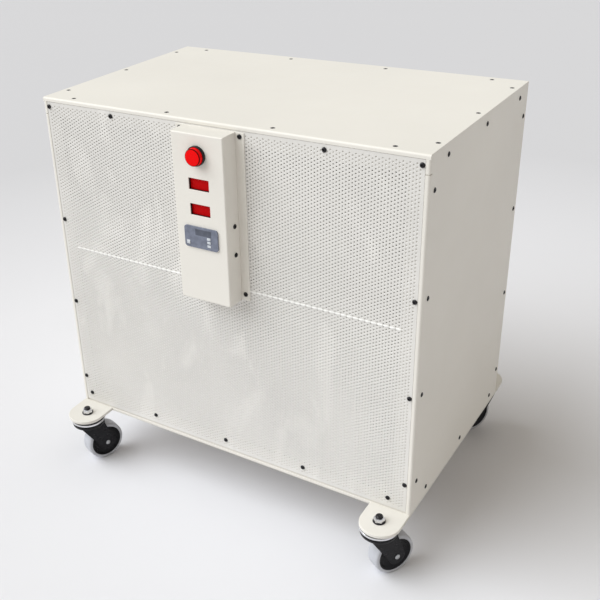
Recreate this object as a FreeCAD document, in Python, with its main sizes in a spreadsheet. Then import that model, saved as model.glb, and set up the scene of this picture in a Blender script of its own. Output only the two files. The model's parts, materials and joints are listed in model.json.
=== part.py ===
import FreeCAD, Part
import os
import re
import Sketcher

# A clean-air blower cabinet on four swivel casters, in millimetres.
# +Z is up, the perforated front faces -Y, and the origin is on the floor under the middle of the cabinet.

SIZES = {
    # cabinet
    "cabinet_width": 600,
    "cabinet_depth": 362,
    "cabinet_height": 527,
    "panel_gauge": 1.5,
    "lip_width": 6,
    "bend_radius": 3,
    "relief_drop": 24,
    "relief_width": 1.2,
    "relief_wrap": 7,
    "frame_leg": 25,
    "frame_wall": 3,
    # base plate and its caster tabs
    "plate_thickness": 5,
    "tab_radius": 32,
    "tab_reach": 31,
    "tab_root_radius": 14,
    # perforated front sheet
    "sheet_gauge": 1,
    "sheet_gap": 0.5,
    "sheet_rise": 3.5,
    # filters behind the sheet
    "filter_depth": 60,
    "filter_wall": 14,
    "filter_gap": 1.5,
    "seam_height": 292,
    "joint_strip_width": 7,
    "joint_strip_gauge": 2,
    "media_recess": 6,
    "media_gauge": 3,
    "pleat_count": 16,
    # fan, its motor and its intake
    "fan_height": 268,
    "fan_radius": 115,
    "fan_plate": 3,
    "fan_depth": 50,
    "shroud_radius": 78,
    "blade_count": 7,
    "blade_gauge": 2.5,
    "blade_root_radius": 68,
    "blade_lean": 32,
    "rotor_radius": 45,
    "rotor_length": 35,
    "shaft_radius": 6,
    "shaft_fit": 0.08,
    "motor_flange_radius": 40,
    "motor_flange": 6,
    "motor_gap": 3,
    "bracket_reach": 149.5,
    "bracket_gauge": 3,
    "bracket_half_span": 150,
    "bracket_width": 70,
    "bracket_foot": 22,
    "mouth_radius": 112,
    "mouth_flange": 18,
    "mouth_depth": 30,
    "mouth_gauge": 1.5,
    "mouth_gap": 2.5,
    "mouth_overlap": 2,
    "grille_radius": 106,
    "slot_width": 10,
    "slot_pitch": 18,
    "slot_rows": 10,
    "slot_web": 16,
    # mains inlet on the rear
    "inlet_offset": 215,
    "inlet_height": 60,
    "inlet_width": 27,
    "inlet_tall": 20,
    "inlet_depth": 24,
    "inlet_flange": 3,
    "inlet_flange_gauge": 2.5,
    "inlet_wall": 1.4,
    "inlet_recess": 19,
    "inlet_corner": 4,
    "inlet_fit": 0.2,
    "pin_pitch": 7,
    "pin_drop": 3,
    "pin_width": 2,
    "pin_tall": 4,
    "pin_length": 15,
    # control box
    "box_shift": -6,
    "box_width": 82,
    "box_height": 242,
    "box_depth": 30,
    "box_drop": 8,
    "box_gauge": 1.5,
    "box_bend": 2,
    "box_flange": 13,
    "box_upstand": 20,
    "box_fit": 0.2,
    # red push button
    "button_drop": 28.5,
    "bezel_radius": 14.75,
    "bezel_height": 8,
    "bezel_wall": 2.45,
    "barrel_radius": 11,
    "barrel_wall": 2,
    "barrel_length": 18,
    "lens_proud": 1.2,
    "lens_thickness": 5,
    "lens_fit": 0.1,
    "lens_stem": 10,
    "contact_width": 28,
    "contact_gap": 2,
    # red display windows
    "upper_window_drop": 69,
    "lower_window_drop": 105,
    "window_width": 32,
    "window_tall": 16.2,
    "window_gauge": 1.5,
    "window_recess": 3,
    "module_border": 3,
    "module_depth": 14,
    # keypad
    "keypad_drop": 144.5,
    "keypad_width": 54,
    "keypad_tall": 31,
    "keypad_proud": 2.2,
    "keypad_corner": 4,
    "keypad_edge": 2.5,
    "keypad_depth": 14,
    "keypad_fit": 0.2,
    "lcd_width": 26,
    "lcd_tall": 9,
    "lcd_shift": 4,
    "lcd_rise": 8,
    "lcd_gauge": 1,
    "key_width": 5.6,
    "key_tall": 3.4,
    "key_shift": 13,
    "key_rise": -4.2,
    "key_pitch": 5.2,
    "menu_shift": -21,
    "menu_rise": -8.5,
    "key_proud": 0.8,
    "key_thickness": 1.8,
    "key_travel": 0.6,
    "key_fit": 0.15,
    # screws
    "head_radius": 3.5,
    "head_height": 2,
    "wall_head_height": 1.2,
    "head_fit": 0.1,
    "side_inset": 10,
    "sheet_top_inset": 13.6,
    "sheet_bottom_inset": 18,
    "sheet_left_screw": 174,
    "sheet_right_screw": 163,
    "sheet_row_start": -282,
    "sheet_row_pitch": 137,
    "column_start": 50,
    "column_pitch": 143,
    "top_row_inset": 12.5,
    "top_row_pitch": 167,
    "top_column_inset": 9.6,
    "top_column_pitch": 136,
    "wall_row_top": 15.7,
    "wall_row_bottom": 12.8,
    "wall_row_shift": 10,
    "wall_row_pitch": 135,
    "wall_front_inset": 17.3,
    "wall_back_inset": 11,
    "flange_screw_top": 5.5,
    "flange_screw_bottom": 9.5,
    "cover_screw_back": 11,
    "cover_screw_drop": 127,
    "cover_screw_pitch": 42,
    # casters
    "caster_trail": 22,
    "wheel_radius": 32.5,
    "wheel_width": 24,
    "hub_radius": 27,
    "tyre_fit": 0.05,
    "hub_boss": 1.5,
    "axle_radius": 4,
    "axle_proud": 2,
    "axle_fit": 0.08,
    "fork_gap": 2,
    "fork_gauge": 3,
    "fork_lug_radius": 13,
    "fork_headroom": 13.7,
    "fork_heel": 24,
    "fork_skirt": 8,
    "fork_toe": 24,
    "ring_radius": 27,
    "ring_height": 8,
    "swivel_gap": 0.3,
    "kingpin_radius": 6,
    "kingpin_head_radius": 9,
    "kingpin_head": 3,
    "stem_radius": 5,
    "stem_fit": 0.25,
    "stem_proud": 4,
    "nut_flats": 16,
    "nut_height": 8,
    "nut_flange_radius": 10.5,
    "nut_flange": 2,
    "nut_fit": 0.1,
    "front_right_heading": 60,
    "front_left_heading": 70,
    "back_heading": 240,
}

# Levels and faces, worked out from the sizes above.
FORK_TOP = "(2 * wheel_radius + fork_headroom + fork_gauge)"
PLATE_FOOT = f"({FORK_TOP} + swivel_gap + ring_height)"
PLATE_TOP = f"({PLATE_FOOT} + plate_thickness)"
TOP = f"({PLATE_TOP} + cabinet_height)"
ROOF = f"({TOP} - panel_gauge)"
FRONT = "(-cabinet_depth / 2)"
BACK = "(cabinet_depth / 2)"
SIDE = "(cabinet_width / 2)"
WALL = "(cabinet_width / 2 - panel_gauge)"
FRAME_FRONT = "(panel_gauge - cabinet_depth / 2)"
FRAME_BACK = "(cabinet_depth / 2 - panel_gauge)"
SHEET_FACE = f"({FRAME_FRONT} - sheet_gauge)"
FILTER_FACE = f"({FRAME_FRONT} + frame_wall)"
SEAM = f"({PLATE_TOP} + seam_height)"
FAN_LEVEL = f"({PLATE_TOP} + fan_height)"
BRACKET_BACK = f"({FRAME_BACK} - bracket_reach + bracket_gauge)"
ROTOR_FACE = f"({BRACKET_BACK} + motor_flange + motor_gap)"
FAN_FACE = f"({ROTOR_FACE} + rotor_length + fan_plate)"
SHROUD = f"({FAN_FACE} + fan_depth)"
SHROUD_FACE = f"({SHROUD} + fan_plate)"
INLET_LEVEL = f"({PLATE_TOP} + inlet_height)"
TRAY_FACE = f"({SHEET_FACE} - box_gauge)"
BOX_FACE = f"({TRAY_FACE} - box_depth)"
BOX_TOP = f"({TOP} - box_drop)"
BOX_BOTTOM = f"({BOX_TOP} - box_height)"
BOX_LEFT = "(box_shift - box_width / 2)"
BOX_RIGHT = "(box_shift + box_width / 2)"
BUTTON_LEVEL = f"({BOX_TOP} - button_drop)"
KEYPAD_LEVEL = f"({BOX_TOP} - keypad_drop)"
KEYPAD_FACE = f"({BOX_FACE} - keypad_proud)"
LEG_INSIDE = "(wheel_width / 2 + fork_gap)"
LEG_OUTSIDE = f"({LEG_INSIDE} + fork_gauge)"

X_AXIS = FreeCAD.Vector(1, 0, 0)
Y_AXIS = FreeCAD.Vector(0, 1, 0)
Z_AXIS = FreeCAD.Vector(0, 0, 1)
TURNS = {
    "+Z": FreeCAD.Rotation(),
    "+Y": FreeCAD.Rotation(X_AXIS, -90),
    "+X": FreeCAD.Rotation(Y_AXIS, 90),
    "-X": FreeCAD.Rotation(Y_AXIS, -90),
}

doc = FreeCAD.newDocument("BlowerCabinet")
sheet = doc.addObject("Spreadsheet::Sheet", "Sizes")
for row, (alias, value) in enumerate(SIZES.items(), start=1):
    sheet.set(f"A{row}", alias)
    sheet.set(f"B{row}", str(value))
    sheet.setAlias(f"B{row}", alias)
doc.recompute()

subparts = {}


def bind(text):
    """Point each size named in an expression at its cell."""
    return re.sub(r"[a-z_]+", lambda word: "Sizes." * (word[0] in SIZES) + word[0], str(text))


def number(text):
    return float(sheet.evalExpression(bind(text)))


def drive(thing, prop, text):
    thing.setExpression(prop, bind(text))


def place(thing, x="0", y="0", z="0"):
    for axis, text in zip("xyz", (x, y, z)):
        drive(thing, f"Placement.Base.{axis}", text)


def subpart(label, thing):
    thing.Label = label
    subparts[label] = thing
    return thing


# Part primitives

def box(x0, x1, y0, y1, z0, z1):
    block = doc.addObject("Part::Box", "Block")
    for prop, low, high in (("Length", x0, x1), ("Width", y0, y1), ("Height", z0, z1)):
        drive(block, prop, f"{high} - ({low})")
    place(block, x0, y0, z0)
    return block


def cylinder(radius, length, x, y, z, axis="+Z"):
    drum = doc.addObject("Part::Cylinder", "Drum")
    drum.Placement.Rotation = TURNS[axis]
    drive(drum, "Radius", radius)
    drive(drum, "Height", length)
    place(drum, x, y, z)
    return drum


def prism(sides, radius, length, x, y, z, axis="+Z"):
    bar = doc.addObject("Part::Prism", "Bar")
    bar.Polygon = sides
    bar.Placement.Rotation = TURNS[axis]
    drive(bar, "Circumradius", radius)
    drive(bar, "Height", length)
    place(bar, x, y, z)
    return bar


def fuse(shapes):
    joined = doc.addObject("Part::MultiFuse", "Joined")
    joined.Shapes = shapes
    joined.Refine = True
    return joined


def cut(base, tools):
    cutting = doc.addObject("Part::Cut", "Trimmed")
    cutting.Base = base
    cutting.Tool = tools[0] if len(tools) == 1 else fuse(tools)
    cutting.Refine = True
    return cutting


def mirrored(source, normal):
    twin = doc.addObject("Part::Mirroring", "Twin")
    twin.Source = source
    twin.Normal = normal
    return twin


def group(members):
    gathered = doc.addObject("Part::Compound", "Group")
    gathered.Links = members
    return gathered


# Bodies made from sketched outlines

def new_body():
    return doc.addObject("PartDesign::Body", "Body")


def sketch_on(body, role, offset="0"):
    plane = next(item for item in body.Origin.OriginFeatures if item.Role == role)
    sketch = body.newObject("Sketcher::SketchObject", "Sketch")
    sketch.AttachmentSupport = [(plane, "")]
    sketch.MapMode = "FlatFace"
    drive(sketch, "AttachmentOffset.Base.z", offset)
    return sketch


def fix_point(sketch, edge, end, x, y):
    for kind, text in (("DistanceX", x), ("DistanceY", y)):
        index = sketch.addConstraint(Sketcher.Constraint(kind, -1, 1, edge, end, number(text)))
        drive(sketch, f"Constraints[{index}]", text)


def outline(body, role, points, offset="0"):
    """A closed outline whose corners are expressions."""
    sketch = sketch_on(body, role, offset)
    corners = [FreeCAD.Vector(number(x), number(y), 0) for x, y in points]
    count = len(corners)
    for index in range(count):
        sketch.addGeometry(Part.LineSegment(corners[index], corners[(index + 1) % count]), False)
    for index in range(count):
        sketch.addConstraint(Sketcher.Constraint("Coincident", index, 2, (index + 1) % count, 1))
    for index, (x, y) in enumerate(points):
        fix_point(sketch, index, 1, x, y)
    return sketch


def rectangle(x0, x1, y0, y1):
    return [(x0, y0), (x1, y0), (x1, y1), (x0, y1)]


def octagon(x, y, apothem):
    """Eight corners round a centre, with the flats at the given distance."""
    turns = [22.5 + 45 * index for index in range(8)]
    corner = f"({apothem}) / cos(22.5)"
    return [(f"{x} + {corner} * cos({turn})", f"{y} + {corner} * sin({turn})") for turn in turns]


def circle(body, role, radius, offset):
    """A circle about the middle of a plane."""
    sketch = sketch_on(body, role, offset)
    sketch.addGeometry(Part.Circle(FreeCAD.Vector(), Z_AXIS, number(radius)), False)
    sketch.addConstraint(Sketcher.Constraint("Coincident", 0, 3, -1, 1))
    held = sketch.addConstraint(Sketcher.Constraint("Radius", 0, number(radius)))
    drive(sketch, f"Constraints[{held}]", radius)
    return sketch


def pad(body, sketch, length):
    feature = body.newObject("PartDesign::Pad", "Pad")
    feature.Profile = sketch
    drive(feature, "Length", length)
    return feature


def pocket(body, sketch, length, away=False):
    feature = body.newObject("PartDesign::Pocket", "Pocket")
    feature.Profile = sketch
    feature.Reversed = away
    drive(feature, "Length", length)
    return feature


def revolve(body, role, points):
    feature = body.newObject("PartDesign::Revolution", "Revolution")
    feature.Profile = outline(body, role, points)
    feature.ReferenceAxis = (feature.Profile[0], ["V_Axis"])
    feature.Angle = 360
    return feature


def edges_where(shape, test):
    return [f"Edge{index}" for index, edge in enumerate(shape.Edges, start=1) if test(edge)]


def round_edges(body, feature, radius, test):
    doc.recompute()
    rounding = body.newObject("PartDesign::Fillet", "Fillet")
    rounding.Base = (feature, edges_where(feature.Shape, test))
    drive(rounding, "Radius", radius)
    return rounding


def runs_along(edge, axis, length):
    ends = [vertex.Point for vertex in edge.Vertexes]
    if len(ends) < 2:
        return False
    span = ends[1] - ends[0]
    return abs(abs(span.dot(axis)) - number(length)) < 0.01


def lies_at(edge, x=None, y=None, z=None):
    """Whether the middle of an edge is at the given coordinates."""
    middle = edge.CenterOfMass
    wanted = ((middle.x, x), (middle.y, y), (middle.z, z))
    return all(text is None or abs(value - number(text)) < 0.01 for value, text in wanted)


# Base plate

def base_plate():
    pieces = [box(f"-{SIDE}", SIDE, FRONT, BACK, PLATE_FOOT, PLATE_TOP)]
    holes = []
    root = "(tab_reach + tab_root_radius)"
    for x, y in stem_places().values():
        low, high = (f"{y} - {root}", y) if number(y) > 0 else (y, f"{y} + {root}")
        pieces.append(box(f"{x} - tab_radius", f"{x} + tab_radius", low, high, PLATE_FOOT, PLATE_TOP))
        pieces.append(cylinder("tab_radius", "plate_thickness", x, y, PLATE_FOOT))
        holes.append(cylinder("stem_radius + stem_fit", "plate_thickness", x, y, PLATE_FOOT))
    blank = fuse(pieces)
    doc.recompute()
    rounded = doc.addObject("Part::Fillet", "TabRoots")
    rounded.Base = blank
    radius = number("tab_root_radius")
    rounded.Edges = [(index, radius, radius) for index, edge in enumerate(blank.Shape.Edges, start=1)
                     if is_tab_root(edge)]
    subpart("base_plate", cut(rounded, holes))


def is_tab_root(edge):
    """The upright inner corner where a tab meets the plate's front or back edge."""
    inner = f"({SIDE} - 2 * tab_radius)"
    corners = [(x, y) for x in (inner, f"-{inner}") for y in (FRONT, BACK)]
    return runs_along(edge, Z_AXIS, "plate_thickness") and any(lies_at(edge, x, y) for x, y in corners)


def stem_places():
    x = f"({SIDE} - tab_radius)"
    y = f"({BACK} + tab_reach)"
    return {
        "front_left": (f"(-{x})", f"(-{y})"),
        "front_right": (x, f"(-{y})"),
        "back_left": (f"(-{x})", y),
        "back_right": (x, y),
    }


# Cabinet

def inner_frame():
    """Twelve welded angle bars: a box hollowed to the bar's wall, with a window through every face."""
    across = f"({WALL} - frame_leg)"
    deep = f"({FRAME_BACK} - frame_leg)"
    outer = box(f"-{WALL}", WALL, FRAME_FRONT, FRAME_BACK, PLATE_TOP, ROOF)
    hollow = box(f"frame_wall - {WALL}", f"{WALL} - frame_wall", FILTER_FACE, f"{FRAME_BACK} - frame_wall",
                 f"{PLATE_TOP} + frame_wall", f"{ROOF} - frame_wall")
    low, high = f"{PLATE_TOP} + frame_leg", f"{ROOF} - frame_leg"
    windows = [
        box(f"-{SIDE}", SIDE, f"-{deep}", deep, low, high),
        box(f"-{across}", across, FRONT, BACK, low, high),
        box(f"-{across}", across, f"-{deep}", deep, PLATE_FOOT, TOP),
    ]
    subpart("inner_frame", cut(outer, [hollow] + windows))


def side_panels():
    """A sheet whose front edge folds round into a narrow lip, with a relief slot across the fold."""
    body = new_body()
    profile = outline(body, "XY_Plane", [
        (SIDE, FRONT),
        (SIDE, FRAME_BACK),
        (WALL, FRAME_BACK),
        (WALL, FRAME_FRONT),
        (f"{SIDE} - lip_width", FRAME_FRONT),
        (f"{SIDE} - lip_width", FRONT),
    ], PLATE_TOP)
    wall = pad(body, profile, f"{ROOF} - {PLATE_TOP}")
    round_edges(body, wall, "bend_radius", lambda edge: lies_at(edge, x=SIDE, y=FRONT))
    under_top_lip = box(f"{SIDE} - lip_width", SIDE, FRONT, FRAME_FRONT, f"{TOP} - lip_width", ROOF)
    relief = box(f"{SIDE} - lip_width", SIDE, FRONT, f"{FRONT} + relief_wrap",
                 f"{TOP} - relief_drop - relief_width", f"{TOP} - relief_drop")
    right = subpart("right_side_panel", cut(body, [under_top_lip, relief]))
    subpart("left_side_panel", mirrored(right, X_AXIS))


def top_panel():
    body = new_body()
    profile = outline(body, "YZ_Plane", [
        (FRONT, TOP),
        (BACK, TOP),
        (BACK, ROOF),
        (FRAME_FRONT, ROOF),
        (FRAME_FRONT, f"{TOP} - lip_width"),
        (FRONT, f"{TOP} - lip_width"),
    ], f"-{SIDE}")
    roof = pad(body, profile, "cabinet_width")
    round_edges(body, roof, "bend_radius", lambda edge: lies_at(edge, y=FRONT, z=TOP))
    holes = [screw_head(x, y, ROOF, "+Z", "head_radius + head_fit", "panel_gauge")
             for x, y in top_screw_places()]
    subpart("top_panel", cut(body, holes))


def rear_panel():
    """A flat sheet with a round field of intake slots over the fan and a cut-out for the mains inlet."""
    cutouts = []
    rows = int(SIZES["slot_rows"])
    for row in range(rows):
        rise = f"(({row} - {rows - 1} / 2) * slot_pitch)"
        reach = f"sqrt(grille_radius ^ 2 - (abs({rise}) + slot_width / 2) ^ 2)"
        low, high = f"{FAN_LEVEL} + {rise} - slot_width / 2", f"{FAN_LEVEL} + {rise} + slot_width / 2"
        cutouts.append(box("slot_web / 2", reach, FRAME_BACK, BACK, low, high))
        cutouts.append(box(f"-{reach}", "-slot_web / 2", FRAME_BACK, BACK, low, high))
    half_width, half_tall = "(inlet_width / 2 + inlet_fit)", "(inlet_tall / 2 + inlet_fit)"
    cutouts.append(box(f"inlet_offset - {half_width}", f"inlet_offset + {half_width}", FRAME_BACK, BACK,
                       f"{INLET_LEVEL} - {half_tall}", f"{INLET_LEVEL} + {half_tall}"))
    blank = box(f"-{SIDE}", SIDE, FRAME_BACK, BACK, PLATE_TOP, ROOF)
    subpart("rear_panel", cut(blank, cutouts))


def front_sheet():
    half = f"({SIDE} - lip_width - sheet_gap)"
    subpart("perforated_front_sheet", box(f"-{half}", half, SHEET_FACE, FRAME_FRONT,
                                          f"{PLATE_TOP} + sheet_rise", f"{TOP} - lip_width - sheet_gap"))


# Filters

def filters():
    half = f"({WALL} - frame_wall - filter_gap)"
    rear = f"({FILTER_FACE} + filter_depth)"
    spans = {
        "lower": (f"({PLATE_TOP} + frame_wall)", SEAM),
        "upper": (SEAM, f"({ROOF} - frame_wall - filter_gap)"),
    }
    for name, (low, high) in spans.items():
        inside = f"({half} - filter_wall)"
        case = box(f"-{half}", half, FILTER_FACE, rear, low, high)
        mouth = box(f"-{inside}", inside, FILTER_FACE, rear, f"{low} + filter_wall", f"{high} - filter_wall")
        subpart(f"{name}_filter_case", cut(case, [mouth]))
        pleated_media(f"{name}_filter_media", inside, f"{low} + filter_wall", f"{high} - filter_wall")
    window = f"({WALL} - frame_leg)"
    subpart("filter_joint_strip", box(f"-{window}", window, f"{FILTER_FACE} - joint_strip_gauge", FILTER_FACE,
                                      f"{SEAM} - joint_strip_width / 2", f"{SEAM} + joint_strip_width / 2"))


def pleated_media(label, half_width, low, high):
    """Folded media: one zigzag run from wall to wall, with its folds upright."""
    count = int(SIZES["pleat_count"])
    half = number(half_width)
    step = half / count
    near = number(f"{FILTER_FACE} + media_recess")
    far = number(f"{FILTER_FACE} + filter_depth - media_recess - media_gauge")
    front = [FreeCAD.Vector(-half + index * step, far if index % 2 else near, number(low))
             for index in range(2 * count + 1)]
    thickness = FreeCAD.Vector(0, number("media_gauge"), 0)
    back = [point + thickness for point in reversed(front)]
    loop = Part.makePolygon(front + back + front[:1])
    media = doc.addObject("Part::Feature", "Media")
    media.Shape = Part.Face(loop).extrude(Z_AXIS * (number(high) - number(low)))
    subpart(label, media)


# Fan

def fan():
    motor_bracket()
    motor()
    impeller()
    intake_mouth()


def motor_bracket():
    """A hat-shaped strip that stands on the rear panel and carries the motor in front of the fan."""
    near = f"({BRACKET_BACK} - bracket_gauge)"
    foot = f"({FRAME_BACK} - bracket_gauge)"
    span, outer = "bracket_half_span", "(bracket_half_span + bracket_foot)"
    inner = "(bracket_half_span - bracket_gauge)"
    body = new_body()
    profile = outline(body, "XY_Plane", [
        (f"-{span}", near), (span, near), (span, foot), (outer, foot), (outer, FRAME_BACK),
        (inner, FRAME_BACK), (inner, BRACKET_BACK), (f"-{inner}", BRACKET_BACK), (f"-{inner}", FRAME_BACK),
        (f"-{outer}", FRAME_BACK), (f"-{outer}", foot), (f"-{span}", foot),
    ], f"{FAN_LEVEL} - bracket_width / 2")
    pad(body, profile, "bracket_width")
    subpart("motor_bracket", body)


def motor():
    body = new_body()
    revolve(body, "XY_Plane", [
        ("0", BRACKET_BACK),
        ("motor_flange_radius", BRACKET_BACK),
        ("motor_flange_radius", f"{BRACKET_BACK} + motor_flange"),
        ("shaft_radius", f"{BRACKET_BACK} + motor_flange"),
        ("shaft_radius", FAN_FACE),
        ("0", FAN_FACE),
    ])
    place(body, z=FAN_LEVEL)
    subpart("fan_motor", body)


def impeller():
    """A rotor and back plate, leaning blades and a flat shroud ring, turning about Y."""
    body = new_body()
    bore = "(shaft_radius + shaft_fit)"
    revolve(body, "XY_Plane", [
        (bore, ROTOR_FACE),
        ("rotor_radius", ROTOR_FACE),
        ("rotor_radius", f"{FAN_FACE} - fan_plate"),
        ("fan_radius", f"{FAN_FACE} - fan_plate"),
        ("fan_radius", FAN_FACE),
        (bore, FAN_FACE),
    ])
    tip = ("fan_radius * cos(blade_lean)", "-fan_radius * sin(blade_lean)")
    blade = outline(body, "XZ_Plane", [
        ("blade_root_radius", "0"),
        ("blade_root_radius", "blade_gauge"),
        (tip[0], f"{tip[1]} + blade_gauge"),
        (tip[0], tip[1]),
    ], f"-{FAN_FACE} - fan_depth")
    first = pad(body, blade, "fan_depth")
    doc.recompute()
    ring = body.newObject("PartDesign::PolarPattern", "Blades")
    ring.Originals = [first]
    ring.Axis = (next(item for item in body.Origin.OriginFeatures if item.Role == "Y_Axis"), [""])
    ring.Angle = 360
    drive(ring, "Occurrences", "blade_count")
    body.Tip = ring
    revolve(body, "XY_Plane", rectangle("shroud_radius", "fan_radius", SHROUD, SHROUD_FACE))
    place(body, z=FAN_LEVEL)
    subpart("fan_impeller", body)


def intake_mouth():
    """A flanged pan behind the slots, with a spigot that leads the air into the shroud."""
    throat = "(shroud_radius - mouth_gap)"
    rim = "(mouth_radius + mouth_flange)"
    floor = f"({FRAME_BACK} - mouth_depth)"
    tip = f"({SHROUD_FACE} - mouth_overlap)"
    body = new_body()
    revolve(body, "XY_Plane", [
        (rim, FRAME_BACK),
        (rim, f"{FRAME_BACK} - mouth_gauge"),
        ("mouth_radius + mouth_gauge", f"{FRAME_BACK} - mouth_gauge"),
        ("mouth_radius + mouth_gauge", floor),
        (throat, floor),
        (throat, tip),
        (f"{throat} - mouth_gauge", tip),
        (f"{throat} - mouth_gauge", f"{floor} + mouth_gauge"),
        ("mouth_radius", f"{floor} + mouth_gauge"),
        ("mouth_radius", FRAME_BACK),
    ])
    place(body, z=FAN_LEVEL)
    subpart("intake_mouth", body)


# Mains inlet

def mains_inlet():
    """A flanged socket with a six-sided mouth and three blades standing on its floor."""
    body = new_body()
    rim_x, rim_z = "(inlet_width / 2 + inlet_flange)", "(inlet_tall / 2 + inlet_flange)"
    pad(body, outline(body, "XZ_Plane", rectangle(f"-{rim_x}", rim_x, f"-{rim_z}", rim_z),
                      f"-{BACK} - inlet_flange_gauge"), "inlet_flange_gauge")
    half_x, half_z = "(inlet_width / 2)", "(inlet_tall / 2)"
    pad(body, outline(body, "XZ_Plane", rectangle(f"-{half_x}", half_x, f"-{half_z}", half_z), f"-{BACK}"),
        "inlet_depth")
    in_x, in_z = "(inlet_width / 2 - inlet_wall)", "(inlet_tall / 2 - inlet_wall)"
    mouth = outline(body, "XZ_Plane", [
        (f"-{in_x}", f"-{in_z}"),
        (in_x, f"-{in_z}"),
        (in_x, f"{in_z} - inlet_corner"),
        (f"{in_x} - inlet_corner", in_z),
        (f"inlet_corner - {in_x}", in_z),
        (f"-{in_x}", f"{in_z} - inlet_corner"),
    ], f"-{BACK} - inlet_flange_gauge")
    pocket(body, mouth, "inlet_recess", away=True)
    place(body, "inlet_offset", "0", INLET_LEVEL)
    floor = f"({BACK} + inlet_flange_gauge - inlet_recess)"
    pins = [pin("inlet_offset - pin_pitch", f"{INLET_LEVEL} - pin_drop", floor),
            pin("inlet_offset", f"{INLET_LEVEL} + pin_drop", floor),
            pin("inlet_offset + pin_pitch", f"{INLET_LEVEL} - pin_drop", floor)]
    subpart("mains_inlet", group([body] + pins))


def pin(x, z, floor):
    return box(f"{x} - pin_width / 2", f"{x} + pin_width / 2", floor, f"{floor} + pin_length",
               f"{z} - pin_tall / 2", f"{z} + pin_tall / 2")


# Control box

def control_box():
    box_tray()
    box_cover()
    push_button()
    for name in ("upper", "lower"):
        display(name)
    keypad()


def box_tray():
    """A back plate with a screw flange down each side and an upstand inside each cover wall."""
    plate = box(f"{BOX_LEFT} - box_flange", f"{BOX_RIGHT} + box_flange", TRAY_FACE, SHEET_FACE,
                BOX_BOTTOM, BOX_TOP)
    inset = "(box_gauge + box_fit)"
    upstands = []
    for near in (f"({BOX_LEFT} + {inset})", f"({BOX_RIGHT} - {inset} - box_gauge)"):
        upstands.append(box(near, f"{near} + box_gauge", f"{TRAY_FACE} - box_upstand", TRAY_FACE,
                            f"{BOX_BOTTOM} + {inset}", f"{BOX_TOP} - {inset}"))
    subpart("control_box_tray", fuse([plate] + upstands))


def box_cover():
    body = new_body()
    shell = pad(body, outline(body, "XZ_Plane", rectangle(BOX_LEFT, BOX_RIGHT, BOX_BOTTOM, BOX_TOP),
                              f"-{TRAY_FACE}"), "box_depth")
    round_edges(body, shell, "box_bend", lambda edge: lies_at(edge, y=BOX_FACE))
    hollow = outline(body, "XZ_Plane", rectangle(
        f"{BOX_LEFT} + box_gauge", f"{BOX_RIGHT} - box_gauge",
        f"{BOX_BOTTOM} + box_gauge", f"{BOX_TOP} - box_gauge"), f"-{TRAY_FACE}")
    pocket(body, hollow, "box_depth - box_gauge", away=True)
    wall = (BOX_FACE, f"{BOX_FACE} + box_gauge")
    cutouts = [cylinder("barrel_radius + box_fit", "box_gauge", "box_shift", BOX_FACE, BUTTON_LEVEL, "+Y")]
    half_x, half_z = "window_width / 2", "window_tall / 2"
    for name in ("upper", "lower"):
        level = f"({BOX_TOP} - {name}_window_drop)"
        cutouts.append(box(f"box_shift - {half_x}", f"box_shift + {half_x}", *wall,
                           f"{level} - {half_z}", f"{level} + {half_z}"))
    neck_x = "(keypad_width / 2 - keypad_edge + keypad_fit)"
    neck_z = "(keypad_tall / 2 - keypad_edge + keypad_fit)"
    cutouts.append(box(f"box_shift - {neck_x}", f"box_shift + {neck_x}", *wall,
                       f"{KEYPAD_LEVEL} - {neck_z}", f"{KEYPAD_LEVEL} + {neck_z}"))
    subpart("control_box_cover", cut(body, cutouts))


def push_button():
    """A black bezel on a barrel through the cover, a red lens that slides in it, and the contacts behind."""
    bezel_bore = "(bezel_radius - bezel_wall)"
    barrel_bore = "(barrel_radius - barrel_wall)"
    bezel = new_body()
    revolve(bezel, "XY_Plane", [
        (barrel_bore, "-box_gauge / 2"),
        (bezel_bore, "-box_gauge / 2"),
        (bezel_bore, "-bezel_height"),
        ("bezel_radius", "-bezel_height"),
        ("bezel_radius", "0"),
        ("barrel_radius", "0"),
        ("barrel_radius", "barrel_length"),
        (barrel_bore, "barrel_length"),
    ])
    lens = new_body()
    face = "(-bezel_height - lens_proud)"
    revolve(lens, "XY_Plane", [
        ("0", face),
        (f"{bezel_bore} - lens_fit", face),
        (f"{bezel_bore} - lens_fit", f"{face} + lens_thickness"),
        (f"{barrel_bore} - lens_fit", f"{face} + lens_thickness"),
        (f"{barrel_bore} - lens_fit", "lens_stem"),
        ("0", "lens_stem"),
    ])
    for label, body in (("button_bezel", bezel), ("button_lens", lens)):
        place(body, "box_shift", BOX_FACE, BUTTON_LEVEL)
        subpart(label, body)
    half = "contact_width / 2"
    rear = f"({BOX_FACE} + barrel_length)"
    subpart("button_contact_block", box(
        f"box_shift - {half}", f"box_shift + {half}", rear, f"{TRAY_FACE} - contact_gap",
        f"{BUTTON_LEVEL} - {half}", f"{BUTTON_LEVEL} + {half}"))


def display(name):
    """A black display module behind the cover, with a red window set back in its mouth."""
    level = f"({BOX_TOP} - {name}_window_drop)"
    inside = f"({BOX_FACE} + box_gauge)"
    glass = f"({inside} + window_recess)"
    across = ("box_shift - window_width / 2", "box_shift + window_width / 2")
    tall = (f"{level} - window_tall / 2", f"{level} + window_tall / 2")
    case = box(f"{across[0]} - module_border", f"{across[1]} + module_border",
               inside, f"{inside} + module_depth",
               f"{tall[0]} - module_border", f"{tall[1]} + module_border")
    mouth = box(*across, inside, f"{glass} + window_gauge", *tall)
    subpart(f"{name}_display_module", cut(case, [mouth]))
    subpart(f"{name}_display_window", box(*across, glass, f"{glass} + window_gauge", *tall))


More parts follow.
